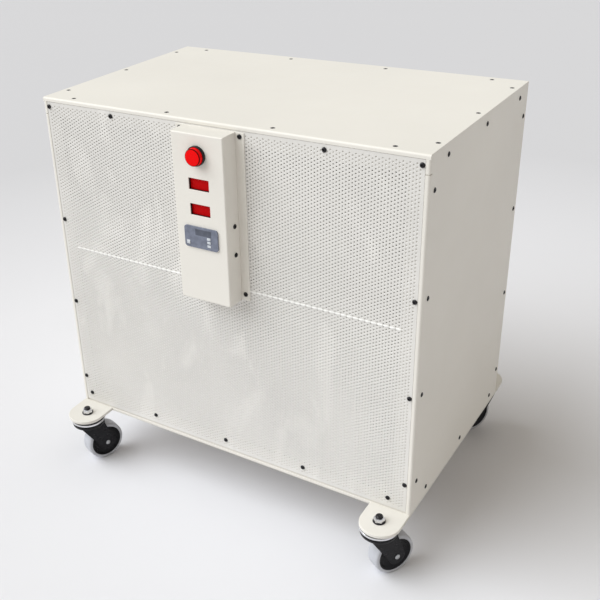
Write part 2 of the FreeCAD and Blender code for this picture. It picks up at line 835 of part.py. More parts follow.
def keypad():
    """A grey bezel with a neck through the cover, a flush screen and four keys in pockets."""
    body = new_body()
    half_x, half_z = "(keypad_width / 2)", "(keypad_tall / 2)"
    plate = pad(body, outline(body, "XZ_Plane", rectangle(f"-{half_x}", half_x, f"-{half_z}", half_z)),
                "keypad_proud")
    round_edges(body, plate, "keypad_corner", lambda edge: runs_along(edge, Y_AXIS, "keypad_proud"))
    neck_x, neck_z = "(keypad_width / 2 - keypad_edge)", "(keypad_tall / 2 - keypad_edge)"
    pad(body, outline(body, "XZ_Plane", rectangle(f"-{neck_x}", neck_x, f"-{neck_z}", neck_z),
                      "-keypad_depth"), "keypad_depth")
    screen = rectangle("lcd_shift - lcd_width / 2", "lcd_shift + lcd_width / 2",
                       "lcd_rise - lcd_tall / 2", "lcd_rise + lcd_tall / 2")
    pocket(body, outline(body, "XZ_Plane", screen, "keypad_proud"), "lcd_gauge")
    key_depth = "key_thickness - key_proud + key_travel + key_fit"
    for x, z, width, tall in key_places().values():
        bay = rectangle(f"{x} - {width} / 2 - key_fit", f"{x} + {width} / 2 + key_fit",
                        f"{z} - {tall} / 2 - key_fit", f"{z} + {tall} / 2 + key_fit")
        pocket(body, outline(body, "XZ_Plane", bay, "keypad_proud"), key_depth)
    place(body, "box_shift", BOX_FACE, KEYPAD_LEVEL)
    subpart("keypad_bezel", body)
    subpart("keypad_screen", box(
        "box_shift + lcd_shift - lcd_width / 2", "box_shift + lcd_shift + lcd_width / 2",
        KEYPAD_FACE, f"{KEYPAD_FACE} + lcd_gauge",
        f"{KEYPAD_LEVEL} + lcd_rise - lcd_tall / 2", f"{KEYPAD_LEVEL} + lcd_rise + lcd_tall / 2"))
    for name, (x, z, width, tall) in key_places().items():
        subpart(f"{name}_key", box(
            f"box_shift + {x} - {width} / 2", f"box_shift + {x} + {width} / 2",
            f"{KEYPAD_FACE} - key_proud", f"{KEYPAD_FACE} - key_proud + key_thickness",
            f"{KEYPAD_LEVEL} + {z} - {tall} / 2", f"{KEYPAD_LEVEL} + {z} + {tall} / 2"))


def key_places():
    return {
        "up": ("key_shift", "(key_rise + key_pitch)", "key_width", "key_tall"),
        "set": ("key_shift", "key_rise", "key_width", "key_tall"),
        "down": ("key_shift", "(key_rise - key_pitch)", "key_width", "key_tall"),
        "menu": ("menu_shift", "menu_rise", "key_width", "key_width"),
    }


# Screws

def screw_head(x, y, z, axis, radius="head_radius", height="wall_head_height", sides=6):
    """A screw head with few sides, standing along its axis from the given point."""
    return prism(sides, radius, height, x, y, z, axis)


def pan_head(x, z, face):
    return screw_head(x, f"{face} - head_height", z, "+Y", height="head_height", sides=8)


def column_level(index):
    return f"({PLATE_TOP} + column_start + {index} * column_pitch)"


def screws():
    subpart("front_sheet_screws", group(front_screws()))
    subpart("top_panel_screws", group(top_screws()))
    right = subpart("right_panel_screws", group(wall_screws()))
    subpart("left_panel_screws", mirrored(right, X_AXIS))
    subpart("rear_panel_screws", group(rear_screws()))
    subpart("control_box_flange_screws", group(flange_screws()))
    subpart("control_box_cover_screws", group(cover_screws()))


def front_screws():
    edge = f"({SIDE} - side_inset)"
    upper = f"{TOP} - sheet_top_inset"
    lower = f"{PLATE_TOP} + sheet_bottom_inset"
    places = [(x, upper) for x in (f"-{edge}", "-sheet_left_screw", "sheet_right_screw", edge)]
    places += [(f"sheet_row_start + {index} * sheet_row_pitch", lower) for index in range(5)]
    places += [(f"{sign}{edge}", column_level(index)) for sign in ("-", "") for index in range(3)]
    return [pan_head(x, z, SHEET_FACE) for x, z in places]


def top_screw_places():
    row = f"({BACK} - top_row_inset)"
    column = f"({SIDE} - top_column_inset)"
    places = []
    for sign in ("-", ""):
        places += [(f"{step} * top_row_pitch", f"{sign}{row}") for step in (-1.5, -0.5, 0.5, 1.5)]
        places += [(f"{sign}{column}", f"{step} * top_column_pitch") for step in (-1, 0, 1)]
    return places


def top_screws():
    """Flush heads that fill the holes in the top panel and sit on the frame."""
    return [screw_head(x, y, ROOF, "+Z", height="panel_gauge") for x, y in top_screw_places()]


def wall_screws():
    places = []
    for step in (-1, 0, 1):
        along = f"wall_row_shift + {step} * wall_row_pitch"
        places += [(along, f"{TOP} - wall_row_top"), (along, f"{PLATE_TOP} + wall_row_bottom")]
    for index in range(4):
        places += [(f"{FRONT} + wall_front_inset", column_level(index)),
                   (f"{BACK} - wall_back_inset", column_level(index))]
    return [screw_head(SIDE, y, z, "+X") for y, z in places]


def rear_screws():
    column = f"({SIDE} - side_inset)"
    places = [(f"{step} * top_row_pitch", level) for step in (-1.5, -0.5, 0.5, 1.5)
              for level in (f"{TOP} - wall_row_top", f"{PLATE_TOP} + wall_row_bottom")]
    places += [(f"{sign}{column}", column_level(index)) for sign in ("-", "") for index in (1, 2)]
    return [screw_head(x, BACK, z, "+Y") for x, z in places]


def flange_screws():
    middle = "box_flange / 2"
    levels = (f"{BOX_TOP} - flange_screw_top", f"{BOX_BOTTOM} + flange_screw_bottom")
    columns = (f"{BOX_LEFT} - {middle}", f"{BOX_RIGHT} + {middle}")
    return [pan_head(x, z, TRAY_FACE) for x in columns for z in levels]


def cover_screws():
    depth = f"{TRAY_FACE} - cover_screw_back"
    heads = []
    for step in (0, 1):
        level = f"{BOX_TOP} - cover_screw_drop - {step} * cover_screw_pitch"
        heads.append(screw_head(BOX_RIGHT, depth, level, "+X", height="head_height", sides=8))
        heads.append(screw_head(BOX_LEFT, depth, level, "-X", height="head_height", sides=8))
    return heads


# Casters

def casters():
    headings = {
        "front_left": "front_left_heading",
        "front_right": "front_right_heading",
        "back_left": "back_heading",
        "back_right": "back_heading",
    }
    nuts = []
    for corner, (x, y) in stem_places().items():
        heading = headings[corner]
        swivel_ring(corner, x, y)
        fork(corner, x, y, heading)
        wheel(corner, x, y, heading)
        nuts.append(flange_nut(x, y))
    subpart("caster_nuts", group(nuts))


def swivel_ring(corner, x, y):
    """Threaded stem, bearing ring and the headed kingpin that the fork hangs on."""
    body = new_body()
    tip = f"({PLATE_TOP} + nut_flange + nut_height + stem_proud)"
    ring_foot = f"{PLATE_FOOT} - ring_height"
    head = f"({FORK_TOP} - fork_gauge - swivel_gap)"
    revolve(body, "XZ_Plane", [
        ("0", tip),
        ("stem_radius", tip),
        ("stem_radius", PLATE_FOOT),
        ("ring_radius", PLATE_FOOT),
        ("ring_radius", ring_foot),
        ("kingpin_radius", ring_foot),
        ("kingpin_radius", head),
        ("kingpin_head_radius", head),
        ("kingpin_head_radius", f"{head} - kingpin_head"),
        ("0", f"{head} - kingpin_head"),
    ])
    place(body, x, y)
    subpart(f"{corner}_caster_ring", body)


def fork(corner, x, y, heading):
    """A flat crown and two tapering legs, swung to the heading of its wheel."""
    body = new_body()
    crown = outline(body, "XY_Plane", rectangle("-fork_heel", "fork_toe", f"-{LEG_OUTSIDE}", LEG_OUTSIDE),
                    f"{FORK_TOP} - fork_gauge")
    pad(body, crown, "fork_gauge")
    lug = "fork_lug_radius"
    for offset in (LEG_INSIDE, f"-{LEG_OUTSIDE}"):
        leg = outline(body, "XZ_Plane", [
            ("-fork_heel", FORK_TOP),
            ("fork_toe", FORK_TOP),
            (f"caster_trail + {lug}", "wheel_radius"),
            (f"caster_trail + {lug} / 2", f"wheel_radius - {lug}"),
            (f"caster_trail - {lug} / 2", f"wheel_radius - {lug}"),
            (f"caster_trail - {lug}", "wheel_radius"),
            ("-fork_heel", f"{FORK_TOP} - fork_skirt"),
        ], offset)
        pad(body, leg, "fork_gauge")
    seat = outline(body, "XZ_Plane", octagon("caster_trail", "wheel_radius", "axle_radius + axle_fit / 2"),
                   f"-{LEG_OUTSIDE}")
    pocket(body, seat, f"2 * {LEG_OUTSIDE}", away=True)
    swivel = circle(body, "XY_Plane", "kingpin_radius + axle_fit", f"{FORK_TOP} - fork_gauge")
    pocket(body, swivel, "fork_gauge", away=True)
    swing(body, x, y, heading)
    subpart(f"{corner}_caster_fork", body)


def wheel(corner, x, y, heading):
    half = "(wheel_width / 2)"
    axle = new_body()
    end = f"({LEG_OUTSIDE} + axle_proud)"
    revolve(axle, "XY_Plane", rectangle("0", "axle_radius", f"-{end}", end))
    hub = new_body()
    flank = f"({half} + hub_boss)"
    revolve(hub, "XY_Plane", rectangle("axle_radius + axle_fit", "hub_radius", f"-{flank}", flank))
    tyre = new_body()
    revolve(tyre, "XY_Plane", rectangle("hub_radius + tyre_fit", "wheel_radius", f"-{half}", half))
    for label, body in (("axle", axle), ("hub", hub), ("tyre", tyre)):
        reach = f"caster_trail * cos({heading})", f"caster_trail * sin({heading})"
        swing(body, f"{x} + {reach[0]}", f"{y} + {reach[1]}", heading, "wheel_radius")
        subpart(f"{corner}_caster_{label}", body)


def swing(body, x, y, heading, z="0"):
    place(body, x, y, z)
    drive(body, "Placement.Rotation.Angle", f"{heading} * 1 deg")


def flange_nut(x, y):
    flats_to_corners = "2 * cos(30)"
    hexagon = prism(6, f"nut_flats / ({flats_to_corners})", "nut_height", x, y, f"{PLATE_TOP} + nut_flange")
    collar = prism(12, "nut_flange_radius", "nut_flange", x, y, PLATE_TOP)
    bore = prism(12, "(stem_radius + nut_fit) / cos(15)", "nut_flange + nut_height", x, y, PLATE_TOP)
    return cut(fuse([hexagon, collar]), [bore])


def check_and_write():
    doc.recompute()
    for thing in doc.Objects:
        if "Invalid" in thing.State or "Error" in thing.State:
            raise RuntimeError(f"{thing.Name} ({thing.Label}) failed: {thing.State}")
    for label, thing in subparts.items():
        if thing.Shape.isNull() or not thing.Shape.isValid():
            raise RuntimeError(f"{label} has no valid shape")
    os.makedirs("parts", exist_ok=True)
    for label, thing in subparts.items():
        thing.Shape.exportStep(f"parts/{label}.step")
    print(len(subparts), "sub-parts written")


base_plate()
inner_frame()
side_panels()
top_panel()
rear_panel()
front_sheet()
filters()
fan()
mains_inlet()
control_box()
screws()
casters()
check_and_write()
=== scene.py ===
"""Looks of a mobile fan filter unit: cream cabinet, perforated front, control box and casters."""

import json
import math
from types import SimpleNamespace

import bmesh
import bpy
from bpy.props import FloatProperty, FloatVectorProperty, IntProperty, PointerProperty
from mathutils import Matrix, Vector


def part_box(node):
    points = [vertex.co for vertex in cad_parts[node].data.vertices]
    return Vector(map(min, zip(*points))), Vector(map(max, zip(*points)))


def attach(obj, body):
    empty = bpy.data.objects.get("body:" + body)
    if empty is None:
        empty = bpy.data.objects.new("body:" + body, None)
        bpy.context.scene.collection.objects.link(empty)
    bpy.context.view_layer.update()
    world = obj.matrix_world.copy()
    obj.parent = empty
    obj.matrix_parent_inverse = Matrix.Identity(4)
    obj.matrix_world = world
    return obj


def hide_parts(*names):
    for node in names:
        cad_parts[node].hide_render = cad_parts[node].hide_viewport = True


bl_info = {
    "name": "Mobile Fan Filter Unit",
    "version": (1, 0, 0),
    "blender": (4, 5, 0),
    "location": "3D View > Sidebar > Filter Unit",
    "description": "Builds a fan filter unit's finished pieces and studio around its packed frame",
    "category": "Object",
}

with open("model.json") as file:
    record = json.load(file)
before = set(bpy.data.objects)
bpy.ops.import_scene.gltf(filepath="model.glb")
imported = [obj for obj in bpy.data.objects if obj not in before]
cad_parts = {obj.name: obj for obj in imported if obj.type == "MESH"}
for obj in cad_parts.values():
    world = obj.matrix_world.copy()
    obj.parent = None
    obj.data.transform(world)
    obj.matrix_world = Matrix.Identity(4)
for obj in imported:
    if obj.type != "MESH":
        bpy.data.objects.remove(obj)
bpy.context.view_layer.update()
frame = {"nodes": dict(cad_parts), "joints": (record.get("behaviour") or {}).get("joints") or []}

CORNERS = ("front_left", "front_right", "back_left", "back_right")
UP = Vector((0, 0, 1))
FORWARD = Vector((0, -1, 0))
OUT_OF_FRONT = Matrix.Rotation(math.radians(90), 4, "X")
ALONG_AXLE = Matrix.Rotation(math.radians(-90), 4, "X")
FULL_TURN = 6.283

# Angles between faces: smooth or flat below the first three, sharp above the others
SMOOTH_BELOW = math.radians(38)
HEAD_SMOOTH_BELOW = math.radians(50)
FLAT_BELOW = math.radians(0.4)
FOLD_ABOVE = math.radians(30)
PRESSED_ABOVE = math.radians(60)

# Distances in metres at which points are one
CAD_WELD, SEAM_WELD, CELL_WELD, ON_AXIS = 2e-6, 1e-6, 1e-5, 1e-7

# Sides of the turned pieces
RING_SIDES, HUB_SIDES, BUTTON_SIDES, WASHER_SIDES = 64, 56, 48, 36
AXLE_SIDES, HEAD_SIDES, DAB_SIDES, HOLE_SIDES, NUT_SIDES = 28, 12, 10, 8, 6

# Screw heads, from the rim to the floor of the socket, in shares of their radius and height
PAN_HEAD = ((0.94, 0), (1, 0.12), (0.97, 0.42), (0.84, 0.76), (0.66, 0.94), (0.46, 1),
            (0.3956, 0.9), (0.3864, 0.35), (0, 0.3))
FLUSH_HEAD = ((1, 0), (1, 0.5), (0.93, 0.78), (0.86, 0.97), (0.5, 1), (0.44, 0.85), (0.4, 0.3),
              (0, 0.2))

# A riveted end, in shares of the axle's radius and metres below its tip
RIVET_END = ((1, 0.0015), (0.82, 0.0006), (0.5, 0.0001), (0, 0))

# The cap of a dab of sealant: radius, and height over the sheet's face
DAB_CAP = ((0.0018, 0.00005), (0.0016, 0.0004), (0.001, 0.0007), (0, 0.0008))

# Eased corners of turned pieces: inset from a radius and drop below a height, in metres
BEZEL_FOOT = ((0.0003, 0), (0, -0.0008))
BEZEL_LIP = ((0.0001, 0.0006), (0.0002, 0.0002), (0.0005, 0))
BEZEL_MOUTH = ((-0.0003, 0), (0, 0.0003))
RACE_NECK = ((0.0013, 0), (0.0009, 0.0004), (0.0009, 0.0033))
RACE_TOP = ((0.0009, 0.0033), (0.0003, 0.0036), (0, 0.0044))
RACE_FOOT = ((0.0001, -0.0021), (0.0007, -0.0014), (0.0018, -0.0011), (0.003, -0.0011))
RACE_GROOVE = ((0.003, -0.0011), (0.003, 0))
KINGPIN_HEAD = ((0, -0.0031), (-0.0025, -0.0031), (-0.003, -0.0026), (-0.003, -0.0005),
                (-0.0024, 0))
CROWN_EDGE = ((0.0014, 0), (0.0004, 0.0004), (0, 0.0014))
SKIRT_EDGE = ((0.0006, -0.0008), (0.0012, 0), (0.0026, 0), (0.0032, -0.0008))
TREAD_SHOULDER = ((0.003, 0), (0.0016, 0.0005), (0.0006, 0.0018), (0.0001, 0.0042), (0, 0.008))
BOSS_EDGE = ((0.0006, 0), (0, 0.0006))
DISH_FOOT = ((-0.0012, -0.0008), (-0.0022, 0))
DISH_SIDE = ((0.005, -0.0006), (0.0034, -0.002))
HUB_RIM = ((0.0026, 0.0009), (0.0018, 0.0003), (0.0003, 0.0003), (0.00005, 0.0007))
WASHER_FOOT = ((0.0003, 0), (0, -0.0004))
NUT_MOUTH = ((-0.0008, 0), (0, 0.0008))

# The camera of the photograph
CAMERA_PLACE = (0.6596, -1.1171, 0.9599)
CAMERA_RIGHT = Vector((0.84072, 0.54002, -0.0397))
CAMERA_DOWN = Vector((0.22127, -0.40954, -0.88505))
CAMERA_AHEAD = Vector((-0.4942, 0.73529, -0.4638))
LENS, SENSOR, SHIFT, VIEW_END = 54.24, 36.0, 0.1, 60.0

# The studio: which way the lamp shines, half the floor's side, and where painted shade darkens the
# floor
LAMP_WAY = Vector((0.55, 0.45, -0.72))
FLOOR_REACH = 40
FLOOR_SHADE_SPAN = (0.75, 1.7)


# Settings

def length(name, description, metres):
    return FloatProperty(name=name, description=description, default=metres, min=0.0, precision=5,
                         unit="LENGTH")


def strength(name, description, value):
    return FloatProperty(name=name, description=description, default=value, min=0.0)


def colour(name, description, red, green, blue):
    return FloatVectorProperty(name=name, description=description, default=(red, green, blue),
                               min=0.0, max=1.0, size=3, subtype="COLOR")


def group(kind, name, description):
    return PointerProperty(type=kind, name=name, description=description)


class SheetSizes(bpy.types.PropertyGroup):
    hole: length("Hole", "Clear diameter of each hole of the front sheet", 0.0016)
    rim: length("Rim", "Width of the softened rim around each hole", 0.0007)
    row_pitch: length("Row pitch", "Distance between the holes of one column", 0.005)
    column_pitch: length("Column pitch", "Distance between neighbouring columns of holes", 0.00433)
    border: length("Border", "Least plain border around the holes", 0.0032)
    bands: IntProperty(name="Bands", description="Number of upright bands that make up the sheet",
                       default=5, min=1)


class EdgeSizes(bpy.types.PropertyGroup):
    panel: length("Panel edge", "Rounding of the cabinet panels' edges", 0.0005)
    plate: length("Plate edge", "Rounding of the base plate's edges", 0.0009)
    box: length("Box edge", "Rounding of the control box's edges", 0.0005)
    moulding: length("Moulding edge", "Rounding of small moulded pieces", 0.0005)
    lens: length("Lens edge", "Rounding of the push button's lens", 0.0011)
    fork: length("Fork edge", "Rounding of the caster forks' pressed edges", 0.0011)


class FilterSizes(bpy.types.PropertyGroup):
    pleat_pitch: length("Pleat pitch", "Distance between the folds of the filter paper", 0.0056)
    pleat_depth: length("Pleat depth", "Depth of the folds that show from the front", 0.0014)


class ButtonSizes(bpy.types.PropertyGroup):
    radius: length("Radius", "Radius of the push button's black bezel", 0.0136)
    height: length("Height", "How far the bezel stands out of the control box", 0.005)
    bore: length("Bore", "Radius of the hole that the lens slides in", 0.01235)
    bore_floor: length("Bore floor", "Height of the bore's floor over the control box", 0.0007)
    lens: length("Lens", "Radius of the red lens at its face", 0.0119)
    lens_foot: length("Lens foot", "Radius of the lens where it slides in the bezel", 0.0122)
    lens_top: length("Lens top", "How far the lens's face stands out of the control box", 0.0108)
    lens_depth: length("Lens depth", "Thickness of the lens behind its face", 0.0069)
    stem: length("Stem", "Radius of the lens's stem behind the face", 0.0088)
    barrel: length("Barrel", "How far the bezel's barrel reaches into the box", 0.018)
    barrel_radius: length("Barrel radius", "Radius of the barrel through the cover", 0.011)
    barrel_bore: length("Barrel bore", "Radius of the hole through the barrel", 0.009)


class CasterSizes(bpy.types.PropertyGroup):
    wheel_width: length("Wheel width", "Width of the tread", 0.024)
    hub_radius: length("Hub radius", "Radius of the black wheel centre", 0.027)
    bore: length("Bore", "Radius of the hole that turns on the axle", 0.00408)
    boss_radius: length("Boss radius", "Radius of the raised middle of the wheel", 0.0095)
    boss_rise: length("Boss rise", "How far the raised middle stands out of the side", 0.0015)
    dish: length("Dish", "Depth of the hollow in the wheel's side", 0.0045)
    tab_radius: length("Tab radius", "Radius of the round end of each of the plate's tabs", 0.03)
    tab_reach: length("Tab reach", "How far each stem stands past the plate's straight edge", 0.031)
    ring_radius: length("Ring radius", "Radius of the bright swivel race", 0.0283)
    crown_radius: length("Crown radius", "Radius of the fork's round crown", 0.0272)
    kingpin_radius: length("Kingpin hole", "Radius of the crown's hole for the kingpin", 0.0063)
    skirt: length("Skirt", "Depth of the fork's rolled skirt", 0.0056)
    fork_gap: length("Fork gap", "Room between the wheel and each leg", 0.002)
    fork_gauge: length("Fork gauge", "Thickness of the fork's steel", 0.003)
    lug_radius: length("Lug radius", "Radius of the leg's end around the axle", 0.013)
    axle_radius: length("Axle radius", "Radius of the riveted axle", 0.004)
    stem_radius: length("Stem radius", "Radius of the threaded stem", 0.005)
    stem_show: FloatProperty(name="Stem show", default=0.76, subtype="FACTOR", min=0.0, max=1.0,
                             description="Share of the nut and the stem's end that shows")
    play: length("Play", "Room of the stem and kingpin in their holes and over the crown", 0.0003)
    thread: length("Thread", "Depth and half pitch of the stem's thread", 0.0005)
    nut_flats: length("Nut flats", "Width of the nut across its flats", 0.0145)
    nut_flange: length("Nut flange", "Radius of the dark washer under the nut", 0.0092)
    washer: length("Washer", "Height of the dark washer", 0.002)


class Colours(bpy.types.PropertyGroup):
    cream: colour("Cream", "Powder coat of the cabinet and the control box", 0.83, 0.80, 0.745)
    # a darker copy of the cabinet's cream, darkened as painted shade of the perforated front
    sheet: colour("Front sheet", "Powder coat of the perforated front", 0.76, 0.742, 0.715)
    board: colour("Filter board", "Frames of the two filters", 0.90, 0.88, 0.86)
    media: colour("Filter media", "Pleated filter paper", 0.92, 0.90, 0.88)
    strip: colour("Joint strip", "Tape over the joint of the filters", 0.93, 0.92, 0.90)
    lens: colour("Lens", "Lens of the push button", 0.80, 0.004, 0.005)
    window: colour("Window", "Windows of the two displays", 0.49, 0.002, 0.003)
    keypad: colour("Keypad", "Face of the keypad", 0.19, 0.208, 0.27)
    key: colour("Keys", "Printed keys of the keypad", 0.62, 0.65, 0.70)
    black: colour("Black mouldings", "Bezels, forks and wheel centres", 0.006, 0.006, 0.008)
    screw: colour("Screws", "Blackened screw heads", 0.011, 0.01, 0.012)
    chrome: colour("Chrome", "Swivel rings and nuts", 0.78, 0.78, 0.80)
    zinc: colour("Zinc", "Galvanised brackets inside", 0.55, 0.56, 0.57)
    tyre: colour("Tyre", "Grey treads", 0.50, 0.51, 0.55)
    floor: colour("Floor", "Studio floor", 0.80, 0.798, 0.835)


class Lights(bpy.types.PropertyGroup):
    key: strength("Key", "Strength of the soft lamp at the upper left", 2.92)
    key_colour: colour("Key colour", "Colour of the soft lamp", 0.935, 0.975, 1.0)
    spread: FloatProperty(name="Spread", default=1.0, min=0.0, max=3.14, subtype="ANGLE",
                          description="How wide the soft lamp looks from the cabinet")
    fill: strength("Fill", "Strength of the light from all round", 0.42)
    fill_colour: colour("Fill colour", "Colour of the light from all round", 1.0, 0.935, 0.81)
    room: colour("Room", "Pale room that the camera and reflections see", 0.715, 0.715, 0.72)


class FilterUnit(bpy.types.PropertyGroup):
    sheet: group(SheetSizes, "Sheet", "Sizes of the perforated front")
    edges: group(EdgeSizes, "Edges", "Rounding of the edges")
    filters: group(FilterSizes, "Filters", "Sizes of the filter paper")
    button: group(ButtonSizes, "Button", "Sizes of the push button")
    casters: group(CasterSizes, "Casters", "Sizes of the casters")
    colours: group(Colours, "Colours", "Colours of the finishes")
    lights: group(Lights, "Lights", "Studio lamps")


def settings():
    return bpy.context.scene.filter_unit


# Nodes

def plug(tree, socket, value):
    """Links a socket to an output, or gives it a value."""
    if isinstance(value, bpy.types.NodeSocket):
        tree.links.new(value, socket)
    else:
        socket.default_value = value


def add(tree, kind, inputs, **options):
    """A node with its options set and its inputs linked or given a value."""
    node = tree.nodes.new(kind)
    for option, value in options.items():
        setattr(node, option, value)
    for socket, value in inputs.items():
        plug(tree, node.inputs[socket], value)
    return node


def math_node(tree, operation, first, second):
    return add(tree, "ShaderNodeMath", {0: first, 1: second}, operation=operation).outputs[0]


def object_place(tree, stretch=(1, 1, 1)):
    place = add(tree, "ShaderNodeTexCoord", {}).outputs["Object"]
    return add(tree, "ShaderNodeMapping", {"Vector": place, "Scale": stretch}).outputs["Vector"]


def noise(tree, place, scale, detail=2.0, distortion=0.0):
    values = {"Vector": place, "Scale": scale, "Detail": detail, "Distortion": distortion}
    return add(tree, "ShaderNodeTexNoise", values).outputs["Fac"]


def between(tree, factor, low=0.0, high=1.0, start=0.3, end=0.7):
    values = {"Value": factor, "From Min": start, "From Max": end, "To Min": low, "To Max": high}
    return add(tree, "ShaderNodeMapRange", values).outputs["Result"]


def blend_colours(tree, factor, first, second):
    mix = add(tree, "ShaderNodeMix", {"Factor": factor}, data_type="RGBA")
    for socket, value in ((mix.inputs[6], first), (mix.inputs[7], second)):
        plug(tree, socket, value if isinstance(value, bpy.types.NodeSocket) else (*value, 1))
    return mix.outputs[2]


def shade(value, factor):
    return tuple(min(1.0, channel * factor) for channel in value)


def blank(name, fixed=None):
    """A new material, its tree and its shader, with the values that are the same all over."""
    material = bpy.data.materials.new(name)
    material.use_nodes = True
    shader = material.node_tree.nodes["Principled BSDF"]
    for socket, value in (fixed or {}).items():
        shader.inputs[socket].default_value = value
    return material, material.node_tree, shader


def tint(tree, shader, factor, tone, dark, light):
    """The base colour, wandering between a darker and a lighter shade of its tone."""
    blend = blend_colours(tree, factor, shade(tone, dark), shade(tone, light))
    plug(tree, shader.inputs["Base Color"], blend)


def gloss(tree, shader, factor, low, high, **span):
    plug(tree, shader.inputs["Roughness"], between(tree, factor, low, high, **span))


def bump(tree, shader, height, strength, depth):
    values = {"Height": height, "Strength": strength, "Distance": depth}
    plug(tree, shader.inputs["Normal"], add(tree, "ShaderNodeBump", values).outputs["Normal"])


# Finishes

def powder_coat(name, tone):
    """Baked paint with a fine orange peel and a faint cloudiness."""
    material, tree, shader = blank(name)
    place = object_place(tree)
    cloud = between(tree, noise(tree, place, 4.5, detail=3))
    tint(tree, shader, cloud, tone, dark=0.972, light=1.02)
    gloss(tree, shader, noise(tree, place, 38, detail=3), low=0.4, high=0.5)
    bump(tree, shader, noise(tree, place, 560, detail=1.5), strength=0.16, depth=0.0004)
    return material


def handled_sheet(name, tone):
    """The front sheet's paint, in a tone darkened as painted shade, with the pale wiped streaks
    that handling leaves.
    """
    material, tree, shader = blank(name)
    place, smear = object_place(tree), object_place(tree, (1.6, 1, 0.9))
    streak = noise(tree, smear, 6.5, detail=4, distortion=1.6)
    wipes = between(tree, streak, start=0.56, end=0.68)
    cloud = between(tree, noise(tree, place, 9, detail=4))
    clean = blend_colours(tree, cloud, shade(tone, 0.95), shade(tone, 1.03))
    plug(tree, shader.inputs["Base Color"], blend_colours(tree, wipes, clean, shade(tone, 1.075)))
    gloss(tree, shader, wipes, low=0.42, high=0.58, start=0, end=1)
    bump(tree, shader, noise(tree, place, 420), strength=0.2, depth=0.0004)
    return material


def paper_board(name, tone, fibre):
    """Pressed fibre with small flecks."""
    material, tree, shader = blank(name, {"Roughness": 0.9})
    fleck = noise(tree, object_place(tree, (1, 1, 0.4)), fibre, detail=4, distortion=0.6)
    tint(tree, shader, between(tree, fleck), tone, dark=0.9, light=1.06)
    bump(tree, shader, fleck, strength=0.35, depth=0.0006)
    return material


def moulded_plastic(name, tone, rough, grain=900.0):
    """Moulded plastic with a fine spark-eroded grain."""
    material, tree, shader = blank(name, {"Specular IOR Level": 0.2})
    place = object_place(tree)
    cloud = between(tree, noise(tree, place, 60, detail=3))
    tint(tree, shader, cloud, tone, dark=0.85, light=1.2)
    gloss(tree, shader, noise(tree, place, 140), low=rough - 0.05, high=rough + 0.08)
    bump(tree, shader, noise(tree, place, grain), strength=0.14, depth=0.0003)
    return material


def plated_metal(name, tone, rough, stretch=(1, 1, 1)):
    """Plated steel with faint drawn lines and clouded gloss."""
    material, tree, shader = blank(name, {"Metallic": 1.0})
    place = object_place(tree, stretch)
    cloud = between(tree, noise(tree, place, 70, detail=3))
    tint(tree, shader, cloud, tone, dark=0.9, light=1.06)
    gloss(tree, shader, noise(tree, place, 220), low=rough, high=rough + 0.12)
    bump(tree, shader, noise(tree, place, 700), strength=0.05, depth=0.0002)
    return material


def blackened_steel(name, tone):
    """Oiled black steel with a fine cloud."""
    material, tree, shader = blank(name, {"Specular IOR Level": 0.3})
    cloud = noise(tree, object_place(tree), 400)
    tint(tree, shader, between(tree, cloud), tone, dark=0.7, light=1.5)
    gloss(tree, shader, cloud, low=0.24, high=0.4)
    return material


def lit_plastic(name, tone, glow, rough):
    """Clear coloured plastic with a little of its own light and tiny prisms underneath."""
    material, tree, shader = blank(name, {
        "Emission Color": (*tone, 1), "Emission Strength": glow, "Specular IOR Level": 0.05})
    place = object_place(tree)
    values = {"Vector": place, "Scale": 850.0}
    prisms = add(tree, "ShaderNodeTexVoronoi", values).outputs["Distance"]
    tint(tree, shader, prisms, tone, dark=0.86, light=1.1)
    gloss(tree, shader, noise(tree, place, 90), low=rough, high=rough + 0.08)
    return material


def printed_film(name, tone, rough):
    """A printed membrane over the keypad, with a soft mottle."""
    material, tree, shader = blank(name, {"Specular IOR Level": 0.2})
    place = object_place(tree)
    mottle = between(tree, noise(tree, place, 130, detail=3), start=0.35, end=0.65)
    tint(tree, shader, mottle, tone, dark=0.86, light=1.14)
    gloss(tree, shader, noise(tree, place, 60), low=rough, high=rough + 0.1)
    bump(tree, shader, noise(tree, place, 1500), strength=0.1, depth=0.0002)
    return material


def rubber(name, tone):
    """Grey tread rubber, dusty in places."""
    material, tree, shader = blank(name)
    place = object_place(tree)
    dust = between(tree, noise(tree, place, 55, detail=4), start=0.4, end=0.7)
    tint(tree, shader, dust, tone, dark=0.94, light=1.1)
    gloss(tree, shader, dust, low=0.34, high=0.5, start=0, end=1)
    bump(tree, shader, noise(tree, place, 800), strength=0.1, depth=0.0003)
    return material


